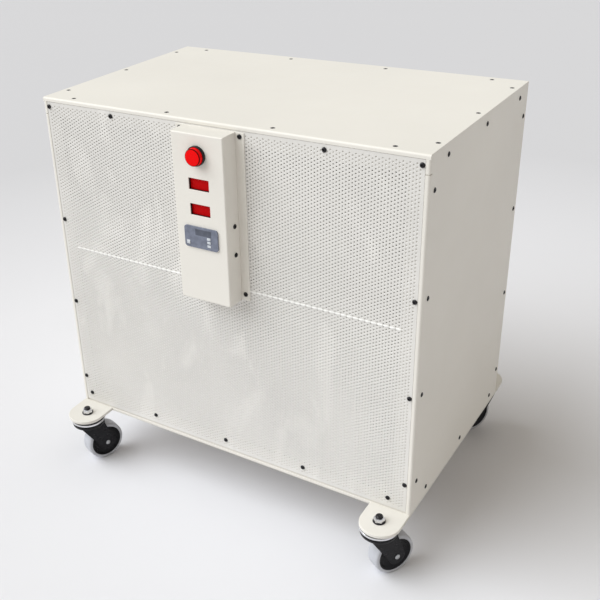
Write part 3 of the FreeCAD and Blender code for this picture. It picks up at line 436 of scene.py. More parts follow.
def make_finish(slot):
    """Each slot's maker, tone and its own values: fibre, roughness, glow, grain or drawn lines."""
    tones = settings().colours
    makers = {
        "cream_paint": (powder_coat, tones.cream),
        # the cabinet's cream darkened as painted shade, so the base plate's lit tabs come out less
        # bright
        "plate_paint": (powder_coat, shade(tones.cream, 0.92)),
        # the cream darkened as painted shade, so the frame seen through the holes reads darker
        "frame_paint": (powder_coat, shade(tones.cream, 0.82)),
        # the sheet's tone is the cream darkened as painted shade
        "front_paint": (handled_sheet, tones.sheet),
        "filter_board": (paper_board, tones.board, 240.0),
        "filter_media": (paper_board, tones.media, 620.0),
        "joint_tape": (paper_board, tones.strip, 400.0),
        "fan_plastic": (moulded_plastic, shade(tones.black, 3.0), 0.5),
        "motor_metal": (plated_metal, shade(tones.zinc, 0.8), 0.42),
        "zinc_steel": (plated_metal, tones.zinc, 0.36, (1, 1, 8)),
        "black_plastic": (moulded_plastic, tones.black, 0.36),
        "bezel_black": (moulded_plastic, shade(tones.black, 1.3), 0.26),
        "red_lens": (lit_plastic, tones.lens, 0.12, 0.2),
        # a dark red painted as shade along the lens's rounded rim
        "lens_rim": (lit_plastic, shade(tones.lens, 0.16), 0.02, 0.2),
        "red_window": (lit_plastic, tones.window, 0.1, 0.16),
        "keypad_grey": (printed_film, tones.keypad, 0.3),
        "screen_dark": (printed_film, shade(tones.keypad, 0.55), 0.16),
        "key_light": (printed_film, tones.key, 0.36),
        "screw_dark": (blackened_steel, tones.screw),
        "chrome_ring": (plated_metal, tones.chrome, 0.1),
        "bright_nut": (plated_metal, shade(tones.chrome, 0.92), 0.2),
        "fork_black": (moulded_plastic, tones.black, 0.3, 500.0),
        "hub_black": (moulded_plastic, shade(tones.black, 0.9), 0.3, 700.0),
        "tyre_grey": (rubber, tones.tyre),
    }
    maker, *values = makers[slot]
    return maker(f"{slot}_finish", *values)


def finish(slot):
    return bpy.data.materials.get(f"{slot}_finish") or make_finish(slot)


# Mesh pieces

def arc(middle, radius, angles):
    """Points on a circle at the given angles in degrees."""
    turns = [math.radians(angle) for angle in angles]
    return [(middle[0] + radius * math.cos(a), middle[1] + radius * math.sin(a)) for a in turns]


def eased(radius, height, steps):
    """The points of an eased corner, from its insets and drops."""
    return [(radius - inset, height - drop) for inset, drop in steps]


def both_sides(half):
    """The same half profile of (radius, offset) on both sides of a wheel, as one closed loop."""
    return half + [(radius, -offset) for radius, offset in reversed(half)]


def lathe(bm, profile, sides, place, finish_index=0, closed=False):
    """Turns a profile of (radius, height) points about the local Z axis."""
    turns = [2 * math.pi * step / sides for step in range(sides)]
    rings = []
    for radius, height in profile:
        if radius < ON_AXIS:
            spots = [(0, 0, height)]
        else:
            spots = [(radius * math.cos(a), radius * math.sin(a), height) for a in turns]
        rings.append([bm.verts.new(place @ Vector(spot)) for spot in spots])
    pairs = list(zip(rings, rings[1:]))
    if closed:
        pairs.append((rings[-1], rings[0]))
    for lower, upper in pairs:
        for step in range(sides):
            after = (step + 1) % sides
            corners = [lower[step % len(lower)], lower[after % len(lower)],
                       upper[after % len(upper)], upper[step % len(upper)]]
            bm.faces.new(dict.fromkeys(corners)).material_index = finish_index


def walls(bm, foot, head):
    """Faces between two rings with the same number of points."""
    for index in range(len(foot)):
        after = (index + 1) % len(foot)
        bm.faces.new((foot[index], foot[after], head[after], head[index]))


def prism(bm, outline, low, high, place):
    """A straight prism over an outline of (x, y) points."""
    foot = [bm.verts.new(place @ Vector((x, y, low))) for x, y in outline]
    head = [bm.verts.new(place @ Vector((x, y, high))) for x, y in outline]
    bm.faces.new(foot)
    bm.faces.new(head)
    walls(bm, foot, head)


def sharp_edges(bm, angle):
    return [edge for edge in bm.edges if edge.calc_face_angle(0) > angle]


def round_over(bm, edges, width, segments, clamp=True):
    bmesh.ops.bevel(bm, geom=edges, offset=width, segments=segments, profile=0.5, affect="EDGES",
                    clamp_overlap=clamp)


def merged(node):
    bm = bmesh.new()
    bm.from_mesh(frame["nodes"][node].data)
    bmesh.ops.remove_doubles(bm, verts=bm.verts, dist=CAD_WELD)
    return bm


def soft_copy(node, width, segments=2):
    """A copy of a CAD node whose sharp edges are rounded over."""
    bm = merged(node)
    bmesh.ops.dissolve_limit(bm, angle_limit=FLAT_BELOW, verts=bm.verts, edges=bm.edges)
    round_over(bm, sharp_edges(bm, FOLD_ABOVE), width, segments)
    return bm


def islands(node):
    """The low and high corner of each separate solid of a CAD node."""
    bm = merged(node)
    left = set(bm.verts)
    boxes = []
    while left:
        solid = [left.pop()]
        for vert in solid:
            for edge in vert.link_edges:
                other = edge.other_vert(vert)
                if other in left:
                    left.remove(other)
                    solid.append(other)
        low = Vector([min(vert.co[axis] for vert in solid) for axis in range(3)])
        high = Vector([max(vert.co[axis] for vert in solid) for axis in range(3)])
        boxes.append((low, high))
    bm.free()
    return sorted(boxes, key=lambda pair: tuple(round(value, 5) for value in pair[0]))


def as_mesh(bm, name):
    mesh = bpy.data.meshes.new(name)
    bm.to_mesh(mesh)
    bm.free()
    return mesh


def new_piece(name, data):
    piece = bpy.data.objects.new(name, data)
    bpy.context.scene.collection.objects.link(piece)
    return piece


def settle(piece, body, node):
    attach(piece, body)
    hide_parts(node)


def finish_piece(bm, name, body, node, slot, finishes=None, turn=False):
    """Makes a piece of a mesh in the making, smooth where it curves, and hands it to its body."""
    if turn:
        bmesh.ops.recalc_face_normals(bm, faces=bm.faces)
    mesh = as_mesh(bm, name)
    for material in finishes or (slot,):
        mesh.materials.append(finish(material))
    mesh.shade_smooth()
    mesh.set_sharp_from_angle(angle=SMOOTH_BELOW)
    piece = new_piece(name, mesh)
    piece.modifiers.new("Even light", "WEIGHTED_NORMAL").keep_sharp = True
    settle(piece, body, node)


def paint(slot, *nodes):
    """Gives CAD nodes that keep their own shape a finish."""
    for node in nodes:
        mesh = frame["nodes"][node].data
        mesh.materials.clear()
        mesh.materials.append(finish(slot))


# Geometry Nodes

def node_tree(name, inputs):
    """A tree with named inputs, each given with the last word of its socket type."""
    tree = bpy.data.node_groups.new(name, "GeometryNodeTree")
    for label, kind in inputs.items():
        tree.interface.new_socket(label, in_out="INPUT", socket_type=f"NodeSocket{kind}")
    tree.interface.new_socket("Geometry", in_out="OUTPUT", socket_type="NodeSocketGeometry")
    return tree, tree.nodes.new("NodeGroupInput").outputs


def close_tree(tree, instances, material, weld=0.0):
    """Realizes the instances, welds them if asked, and sets their material."""
    mesh = add(tree, "GeometryNodeRealizeInstances", {"Geometry": instances}).outputs[0]
    if weld:
        values = {"Geometry": mesh, "Distance": weld}
        mesh = add(tree, "GeometryNodeMergeByDistance", values).outputs[0]
    values = {"Geometry": mesh, "Material": material}
    mesh = add(tree, "GeometryNodeSetMaterial", values).outputs[0]
    add(tree, "NodeGroupOutput", {"Geometry": mesh})


def shape_of(tree, piece):
    return add(tree, "GeometryNodeObjectInfo", {"Object": piece}).outputs["Geometry"]


def grow(tree, name, values):
    """Runs a tree once and keeps its result as a plain mesh."""
    piece = new_piece(name, bpy.data.meshes.new(name))
    modifier = piece.modifiers.new("Growth", "NODES")
    modifier.node_group = tree
    for item in tree.interface.items_tree:
        if item.in_out == "INPUT":
            modifier[item.identifier] = values[item.name]
    graph = bpy.context.evaluated_depsgraph_get()
    mesh = bpy.data.meshes.new_from_object(piece.evaluated_get(graph), depsgraph=graph)
    piece.modifiers.remove(modifier)
    piece.data = mesh
    mesh.name = name
    return piece


def discard(*helpers):
    for helper in helpers:
        bpy.data.objects.remove(helper)


def perforation_tree():
    """Columns of one cell, every other column half a row higher and one cell shorter."""
    tree, given = node_tree("Perforation", {
        "Cell": "Object", "Columns": "Int", "Rows": "Int", "First column": "Int",
        "Column pitch": "Float", "Row pitch": "Float", "Start": "Vector", "Material": "Material",
    })
    count = math_node(tree, "MULTIPLY", given["Columns"], given["Rows"])
    line = add(tree, "GeometryNodeMeshLine", {"Count": count, "Offset": (0, 0, 0)}).outputs[0]
    index = add(tree, "GeometryNodeInputIndex", {}).outputs[0]
    column = math_node(tree, "FLOOR", math_node(tree, "DIVIDE", index, given["Rows"]), 0)
    row = math_node(tree, "MODULO", index, given["Rows"])
    odd = math_node(tree, "MODULO", math_node(tree, "ADD", column, given["First column"]), 2)
    across = math_node(tree, "MULTIPLY", column, given["Column pitch"])
    lift = math_node(tree, "ADD", row, math_node(tree, "MULTIPLY", odd, 0.5))
    up = math_node(tree, "MULTIPLY", lift, given["Row pitch"])
    step = add(tree, "ShaderNodeCombineXYZ", {"X": across, "Y": 0.0, "Z": up}).outputs[0]
    values = {0: step, 1: given["Start"]}
    spot = add(tree, "ShaderNodeVectorMath", values, operation="ADD").outputs[0]
    last = math_node(tree, "GREATER_THAN", lift, math_node(tree, "SUBTRACT", given["Rows"], 1))
    values = {"Geometry": line, "Position": spot}
    points = add(tree, "GeometryNodeSetPosition", values).outputs[0]
    values = {"Geometry": points, "Selection": last}
    points = add(tree, "GeometryNodeDeleteGeometry", values, domain="POINT").outputs[0]
    values = {"Points": points, "Instance": shape_of(tree, given["Cell"])}
    instances = add(tree, "GeometryNodeInstanceOnPoints", values).outputs[0]
    close_tree(tree, instances, given["Material"], CELL_WELD)
    return tree


def screw_tree():
    """One head on each marked point, along its axis and turned by chance with a fixed seed."""
    tree, given = node_tree("Screw heads", {
        "Places": "Object", "Head": "Object", "Seed": "Int", "Twist": "Float",
        "Material": "Material",
    })
    values = {"Name": "axis"}
    axis = add(tree, "GeometryNodeInputNamedAttribute", values, data_type="FLOAT_VECTOR").outputs[0]
    aim = add(tree, "FunctionNodeAlignRotationToVector", {"Vector": axis}, axis="Z").outputs[0]
    values = {"Min": 0.0, "Max": given["Twist"], "Seed": given["Seed"]}
    chance = add(tree, "FunctionNodeRandomValue", values, data_type="FLOAT")
    turn = next(socket for socket in chance.outputs if socket.enabled)
    values = {"Axis": (0, 0, 1), "Angle": turn}
    twist = add(tree, "FunctionNodeAxisAngleToRotation", values).outputs[0]
    values = {"Rotation": aim, "Rotate By": twist}
    aim = add(tree, "FunctionNodeRotateRotation", values, rotation_space="LOCAL").outputs[0]
    values = {"Points": shape_of(tree, given["Places"]), "Instance": shape_of(tree, given["Head"]),
              "Rotation": aim}
    instances = add(tree, "GeometryNodeInstanceOnPoints", values).outputs[0]
    close_tree(tree, instances, given["Material"])
    return tree


# Shapes of single pieces

def cell_mesh(sizes, gauge):
    """One cell of the sheet, front towards -Y, with an eight-sided hole softened by paint."""
    edge = [(0.5, 0), (0.5, 0.5), (-0.5, 0.5), (-0.5, 0), (-0.5, -0.5), (0.5, -0.5)]
    rim = arc((0, 0), 1, range(0, 360, 360 // HOLE_SIDES))
    waist = sizes.hole / 2
    mouth = waist + sizes.rim
    bm = bmesh.new()

    def corners(y):
        return [bm.verts.new((x * sizes.column_pitch, y, z * sizes.row_pitch)) for x, z in edge]

    def circle(radius, y):
        return [bm.verts.new((x * radius, y, z * radius)) for x, z in rim]

    def web(outer, inner, front):
        loops = [
            (outer[0], outer[1], inner[1], inner[0]), (outer[1], inner[2], inner[1]),
            (outer[1], outer[2], inner[2]), (outer[2], inner[3], inner[2]),
            (outer[2], outer[3], inner[4], inner[3]), (outer[3], outer[4], inner[5], inner[4]),
            (outer[4], inner[6], inner[5]), (outer[4], outer[5], inner[6]),
            (outer[5], inner[7], inner[6]), (outer[5], outer[0], inner[0], inner[7]),
        ]
        for loop in loops:
            bm.faces.new(loop if front else loop[::-1])

    rings = [circle(mouth, 0.0), circle(waist, sizes.rim), circle(mouth, gauge)]
    web(corners(0.0), rings[0], True)
    web(corners(gauge), rings[2], False)
    for near, far in zip(rings, rings[1:]):
        walls(bm, near, far)
    return as_mesh(bm, "cell")


def screw_head(profile, radius, height):
    bm = bmesh.new()
    lathe(bm, [(radius * across, height * up) for across, up in profile], HEAD_SIDES, Matrix())
    return as_mesh(bm, "head")


def hole_field():
    """Where the holes of the front sheet lie: their counts and the edges of their field."""
    sizes = settings().sheet
    low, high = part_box("perforated_front_sheet")
    columns = int((high.x - low.x - 2 * sizes.border) / sizes.column_pitch)
    rows = int((high.z - low.z - 2 * sizes.border) / sizes.row_pitch)
    wide, tall = columns * sizes.column_pitch, rows * sizes.row_pitch
    left, foot = (low.x + high.x - wide) / 2, (low.z + high.z - tall) / 2
    return SimpleNamespace(columns=columns, rows=rows, left=left, foot=foot, right=left + wide,
                           head=foot + tall)


def grow_on(name, seats, axes, shape, slot, seed, twist=FULL_TURN):
    """Sets a small shape on each seat, along that seat's axis and turned by up to the twist."""
    marks = bpy.data.meshes.new("marks")
    marks.from_pydata(seats, [], [])
    layer = marks.attributes.new("axis", "FLOAT_VECTOR", "POINT")
    for item, axis in zip(layer.data, axes):
        item.vector = axis
    head, places = new_piece("head", shape), new_piece("places", marks)
    tree = bpy.data.node_groups.get("Screw heads") or screw_tree()
    piece = grow(tree, name, {"Places": places, "Head": head, "Seed": seed, "Twist": twist,
                              "Material": finish(slot)})
    discard(head, places)
    piece.data.shade_smooth()
    piece.data.set_sharp_from_angle(angle=HEAD_SMOOTH_BELOW)
    return piece


def caster_place(corner):
    """The caster's own frame, and its wheel's, whose Z lies along the axle.

    The caster's X goes from the stem to the wheel, Y along the axle and Z up from the floor.
    """
    joints = {joint["name"]: joint for joint in frame["joints"]}
    swivel, roll = joints[f"{corner}_swivel"], joints[f"{corner}_roll"]
    stem, wheel, axle = Vector(swivel["pos_m"]), Vector(roll["pos_m"]), Vector(roll["axis"])
    turn = Matrix((axle.cross(UP), axle, UP)).transposed().to_4x4()
    own = Matrix.Translation((stem.x, stem.y, 0)) @ turn
    return own, Matrix.Translation(wheel) @ turn @ ALONG_AXLE


# Operators

class FILTERUNIT_OT_panels(bpy.types.Operator):
    """Round the folded panels and the base plate and give them their paint, darkened as painted
    shade on the base plate and the inner frame
    """
    bl_idname = "filter_unit.panels"
    bl_label = "Cabinet Panels"

    def execute(self, context):
        edges = settings().edges
        for node in ("top_panel", "left_side_panel", "right_side_panel", "rear_panel"):
            panel = soft_copy(node, edges.panel)
            finish_piece(panel, f"painted_{node}", "cabinet", node, "cream_paint")
        self.base_plate(edges.plate)
        # The inner frame takes the cream darkened as painted shade behind the holes
        paint("frame_paint", "inner_frame")
        return {"FINISHED"}

    def base_plate(self, rounding):
        """A thick plate with a straight-sided, round-ended tab at each corner and stem holes."""
        sizes = settings().casters
        low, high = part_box("base_plate")
        stems = {corner: caster_place(corner)[0].translation for corner in CORNERS}
        edge = stems["back_right"].y - sizes.tab_reach
        radius, hole = sizes.tab_radius, sizes.stem_radius + sizes.play
        tab = [(0, 0), *arc((radius, sizes.tab_reach), radius, range(180, -1, -9)), (2 * radius, 0)]
        ways = ((-1, -1, tab), (1, -1, tab[::-1]), (1, 1, tab), (-1, 1, tab[::-1]))
        loops = [[(across * (high.x - inward), along * (edge + outward))
                  for across, along, points in ways for inward, outward in points]]
        loops += [arc(stem.xy, hole, range(0, 360, 15)) for stem in stems.values()]
        bm = bmesh.new()
        lines = []
        for loop in loops:
            verts = [bm.verts.new((x, y, low.z)) for x, y in loop]
            lines += [bm.edges.new(pair) for pair in zip([verts[-1], *verts], verts)]
        bmesh.ops.triangle_fill(bm, use_beauty=True, use_dissolve=False, edges=lines)
        grown = bmesh.ops.extrude_face_region(bm, geom=bm.faces[:])["geom"]
        top = [item for item in grown if isinstance(item, bmesh.types.BMVert)]
        bmesh.ops.translate(bm, vec=(0, 0, high.z - low.z), verts=top)
        bmesh.ops.recalc_face_normals(bm, faces=bm.faces)
        round_over(bm, sharp_edges(bm, PRESSED_ABOVE), rounding, 3)
        # The plate takes the cream darkened as painted shade
        finish_piece(bm, "painted_base_plate", "cabinet", "base_plate", "cream_paint",
                     ("plate_paint",))


class FILTERUNIT_OT_front_sheet(bpy.types.Operator):
    """Punch the front sheet full of staggered holes, in upright bands inside a plain border"""
    bl_idname = "filter_unit.front_sheet"
    bl_label = "Perforated Front"

    def execute(self, context):
        sizes = settings().sheet
        low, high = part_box("perforated_front_sheet")
        field = hole_field()
        cell = new_piece("cell", cell_mesh(sizes, high.y - low.y))
        tree = perforation_tree()
        for band in range(sizes.bands):
            first = field.columns * band // sizes.bands
            after = field.columns * (band + 1) // sizes.bands
            start = (field.left + (first + 0.5) * sizes.column_pitch, low.y,
                     field.foot + 0.5 * sizes.row_pitch)
            piece = grow(tree, f"front_sheet_band_{band + 1}", {
                "Cell": cell, "Columns": after - first, "Rows": field.rows, "First column": first,
                "Column pitch": sizes.column_pitch, "Row pitch": sizes.row_pitch, "Start": start,
                "Material": finish("front_paint"),
            })
            settle(piece, "cabinet", "perforated_front_sheet")
        discard(cell)
        self.border(low, high, field, sizes)
        return {"FINISHED"}

    def border(self, low, high, field, sizes):
        """The plain rim, and the blank half cells at the ends of every other column."""
        left, right, foot, head = field.left, field.right, field.foot, field.head
        areas = [(low.x, high.x, low.z, foot), (low.x, high.x, head, high.z),
                 (low.x, left, foot, head), (right, high.x, foot, head)]
        for column in range(1, field.columns, 2):
            near = left + column * sizes.column_pitch
            far = near + sizes.column_pitch
            areas.append((near, far, foot, foot + sizes.row_pitch / 2))
            areas.append((near, far, head - sizes.row_pitch / 2, head))
        bm = bmesh.new()
        for x0, x1, z0, z1 in areas:
            corners = [(x0, z0), (x1, z0), (x1, z1), (x0, z1)]
            bm.faces.new([bm.verts.new((x, low.y, z)) for x, z in corners])
            bm.faces.new([bm.verts.new((x, high.y, z)) for x, z in reversed(corners)])
        ring = [(low.x, low.z), (high.x, low.z), (high.x, high.z), (low.x, high.z)]
        for (x0, z0), (x1, z1) in zip(ring, ring[1:] + ring[:1]):
            side = [(x0, low.y, z0), (x0, high.y, z0), (x1, high.y, z1), (x1, low.y, z1)]
            bm.faces.new([bm.verts.new(point) for point in side])
        bmesh.ops.remove_doubles(bm, verts=bm.verts, dist=SEAM_WELD)
        finish_piece(bm, "front_sheet_border", "cabinet", "perforated_front_sheet", "cream_paint",
                     ("front_paint",))


class FILTERUNIT_OT_filters(bpy.types.Operator):
    """Finish the filters and the joint strip behind the front sheet"""
    bl_idname = "filter_unit.filters"
    bl_label = "Filters"

    def execute(self, context):
        paint("filter_board", "upper_filter_case", "lower_filter_case")
        for row in ("upper", "lower"):
            self.pleats(f"{row}_filter_media")
        paint("joint_tape", "filter_joint_strip")
        self.sealant()
        return {"FINISHED"}

    def pleats(self, node):
        """A pack of fine pleats, folded upright, that fills the filter's case."""
        sizes = settings().filters
        low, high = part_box(node)
        count = round((high.x - low.x) / sizes.pleat_pitch)
        step = (high.x - low.x) / (2 * count)
        outline = [(low.x + index * step, low.y + (sizes.pleat_depth if index % 2 else 0))
                   for index in range(2 * count + 1)]
        outline += [(high.x, high.y), (low.x, high.y)]
        bm = bmesh.new()
        foot = [bm.verts.new((x, y, low.z)) for x, y in outline]
        head = [bm.verts.new((x, y, high.z)) for x, y in outline]
        walls(bm, foot, head)
        for ring in (foot, head):
            back = ring[-2:]
            for index in range(2 * count):
                bm.faces.new((ring[index], ring[index + 1], back[0]))
            bm.faces.new((ring[0], back[0], back[1]))
        name = node.replace("media", "pleats")
        finish_piece(bm, name, "cabinet", node, "filter_media", turn=True)

    def sealant(self):
        """Dabs of white sealant that the joint strip has pressed through the nearest holes."""
        neck_share, widening, slack, seed, slant = 0.43, 2.5, 0.00001, 21, 0.12
        sizes = settings().sheet
        low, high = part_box("filter_joint_strip")
        field = hole_field()
        seam = (low.z + high.z) / 2
        runs = ([], [])
        for column in range(field.columns):
            x = field.left + (column + 0.5) * sizes.column_pitch
            if low.x < x < high.x:
                first = field.foot + (0.5 + 0.5 * (column % 2)) * sizes.row_pitch
                row = round((seam - first) / sizes.row_pitch)
                runs[column % 2].append(Vector((x, low.y, first + row * sizes.row_pitch)))
        spots = min(runs, key=lambda run: abs(run[0].z - seam))
        depth = low.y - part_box("perforated_front_sheet")[0].y
        neck = neck_share * sizes.hole
        cap = [(radius, depth + rise) for radius, rise in DAB_CAP]
        bm = bmesh.new()
        lathe(bm, [(neck, 0), (neck, depth), *cap], DAB_SIDES, Matrix())
        for vert in bm.verts:
            if vert.co.z > depth + slack:
                vert.co.x *= widening
        piece = grow_on("joint_sealant", spots, [FORWARD] * len(spots), as_mesh(bm, "dab"),
                        "joint_tape", seed, slant)
        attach(piece, "cabinet")


class FILTERUNIT_OT_screws(bpy.types.Operator):
    """Set a round blackened head on each screw place of the cabinet and the control box"""
    bl_idname = "filter_unit.screws"
    bl_label = "Screws"

    def execute(self, context):
        low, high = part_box("control_box_cover")
        middle = (low.x + high.x) / 2
        self.row("front_sheet_screws", 0, FORWARD)
        self.row("control_box_flange_screws", 1, FORWARD)
        self.row("right_panel_screws", 2, Vector((1, 0, 0)))
        self.row("left_panel_screws", 3, Vector((-1, 0, 0)))
        self.row("rear_panel_screws", 4, Vector((0, 1, 0)))
        self.row("top_panel_screws", 11, UP, FLUSH_HEAD)
        self.row("control_box_cover_screws", 12, middle=middle)
        return {"FINISHED"}

    def row(self, node, seed, way=None, profile=PAN_HEAD, middle=0.0):
        """Grows a node's screws from its solids, all one way or else out from the middle."""
        boxes = islands(node)
        seats, axes = [], []
        for low, high in boxes:
            axis = way or Vector((math.copysign(1, low.x - middle), 0, 0))
            half = Vector([axis[i] * (high[i] - low[i]) / 2 for i in range(3)])
            seats.append((low + high) / 2 - half)
            axes.append(axis)
        size = boxes[0][1] - boxes[0][0]
        along = max(range(3), key=lambda i: abs(axes[0][i]))
        radius = max(size[i] for i in range(3) if i != along) / 2
        head = screw_head(profile, radius, size[along])
        name = node.replace("_screws", "_heads")
        settle(grow_on(name, seats, axes, head, "screw_dark", seed), "cabinet", node)


class FILTERUNIT_OT_control_box(bpy.types.Operator):
    """Round and paint the control box's tray and cover"""
    bl_idname = "filter_unit.control_box"
    bl_label = "Control Box"

    def execute(self, context):
        for node in ("control_box_tray", "control_box_cover"):
            shell = soft_copy(node, settings().edges.box, 3)
            finish_piece(shell, f"painted_{node}", "cabinet", node, "cream_paint")
        return {"FINISHED"}


class FILTERUNIT_OT_push_button(bpy.types.Operator):
    """Finish the push button's black bezel, its red lens and the contact block behind it"""
    bl_idname = "filter_unit.push_button"
    bl_label = "Push Button"

    def execute(self, context):
        sizes = settings().button
        low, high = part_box("button_bezel")
        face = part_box("control_box_cover")[0].y
        spot = ((low.x + high.x) / 2, face, (low.z + high.z) / 2)
        place = Matrix.Translation(spot) @ OUT_OF_FRONT
        self.bezel(sizes, place)
        self.lens(sizes, place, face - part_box("button_lens")[1].y)
        paint("black_plastic", "button_contact_block")
        return {"FINISHED"}

    def bezel(self, sizes, place):
        """A ring with an eased lip on a barrel that goes through the cover."""
        bm = bmesh.new()
        lathe(bm, [(sizes.barrel_bore, -sizes.barrel), (sizes.barrel_radius, -sizes.barrel),
                   (sizes.barrel_radius, 0), *eased(sizes.radius, 0, BEZEL_FOOT),
                   *eased(sizes.radius, sizes.height, BEZEL_LIP),
                   *eased(sizes.bore, sizes.height, BEZEL_MOUTH),
                   (sizes.bore, sizes.bore_floor), (sizes.barrel_bore, sizes.bore_floor)],
              BUTTON_SIDES, place, closed=True)
        finish_piece(bm, "glossy_button_bezel", "cabinet", "button_bezel", "black_plastic",
                     ("bezel_black",), turn=True)

    def lens(self, sizes, place, back):
        """A lens with a slightly domed face and a rim painted dark as shade, on a stem that reaches
        back.
        """
        bow, dome, shoulder = 0.0002, 0.0003, 0.3
        front, edge = sizes.lens_top, settings().edges.lens
        foot = front - sizes.lens_depth
        bm = bmesh.new()
        lathe(bm, [(0, back), (sizes.stem, back), (sizes.stem, foot), (sizes.lens_foot, foot),
                   (sizes.lens_foot, sizes.height), (sizes.lens, front - edge),
                   (sizes.lens - edge * shoulder, front - edge * shoulder),
                   (sizes.lens - edge, front), (sizes.lens * 0.5, front + bow), (0, front + dome)],
              BUTTON_SIDES, place)
        level = place.inverted()
        # Faces of the rounded rim take a dark red that paints the shade at the lens's edge
        for face in bm.faces:
            spot = level @ face.calc_center_median()
            if spot.xy.length > sizes.lens - edge and front - edge < spot.z < front:
                face.material_index = 1
        finish_piece(bm, "rounded_button_lens", "button", "button_lens", "red_lens",
                     ("red_lens", "lens_rim"), turn=True)


class FILTERUNIT_OT_displays(bpy.types.Operator):
    """Finish the red windows and the dark modules behind them"""
    bl_idname = "filter_unit.displays"
    bl_label = "Displays"

    def execute(self, context):
        for row in ("upper", "lower"):
            paint("red_window", f"{row}_display_window")
            paint("black_plastic", f"{row}_display_module")
        return {"FINISHED"}


class FILTERUNIT_OT_keypad(bpy.types.Operator):
    """Round the keypad's case and its keys, and finish its screen"""
    bl_idname = "filter_unit.keypad"
    bl_label = "Keypad"

    def execute(self, context):
        key_share = 0.7
        edge = settings().edges.moulding
        case = soft_copy("keypad_bezel", edge, 3)
        finish_piece(case, "rounded_keypad", "cabinet", "keypad_bezel", "keypad_grey")
        paint("screen_dark", "keypad_screen")
        for key in ("up_key", "set_key", "down_key", "menu_key"):
            cap = soft_copy(key, edge * key_share, 3)
            finish_piece(cap, f"rounded_{key}", key, key, "key_light")
        return {"FINISHED"}


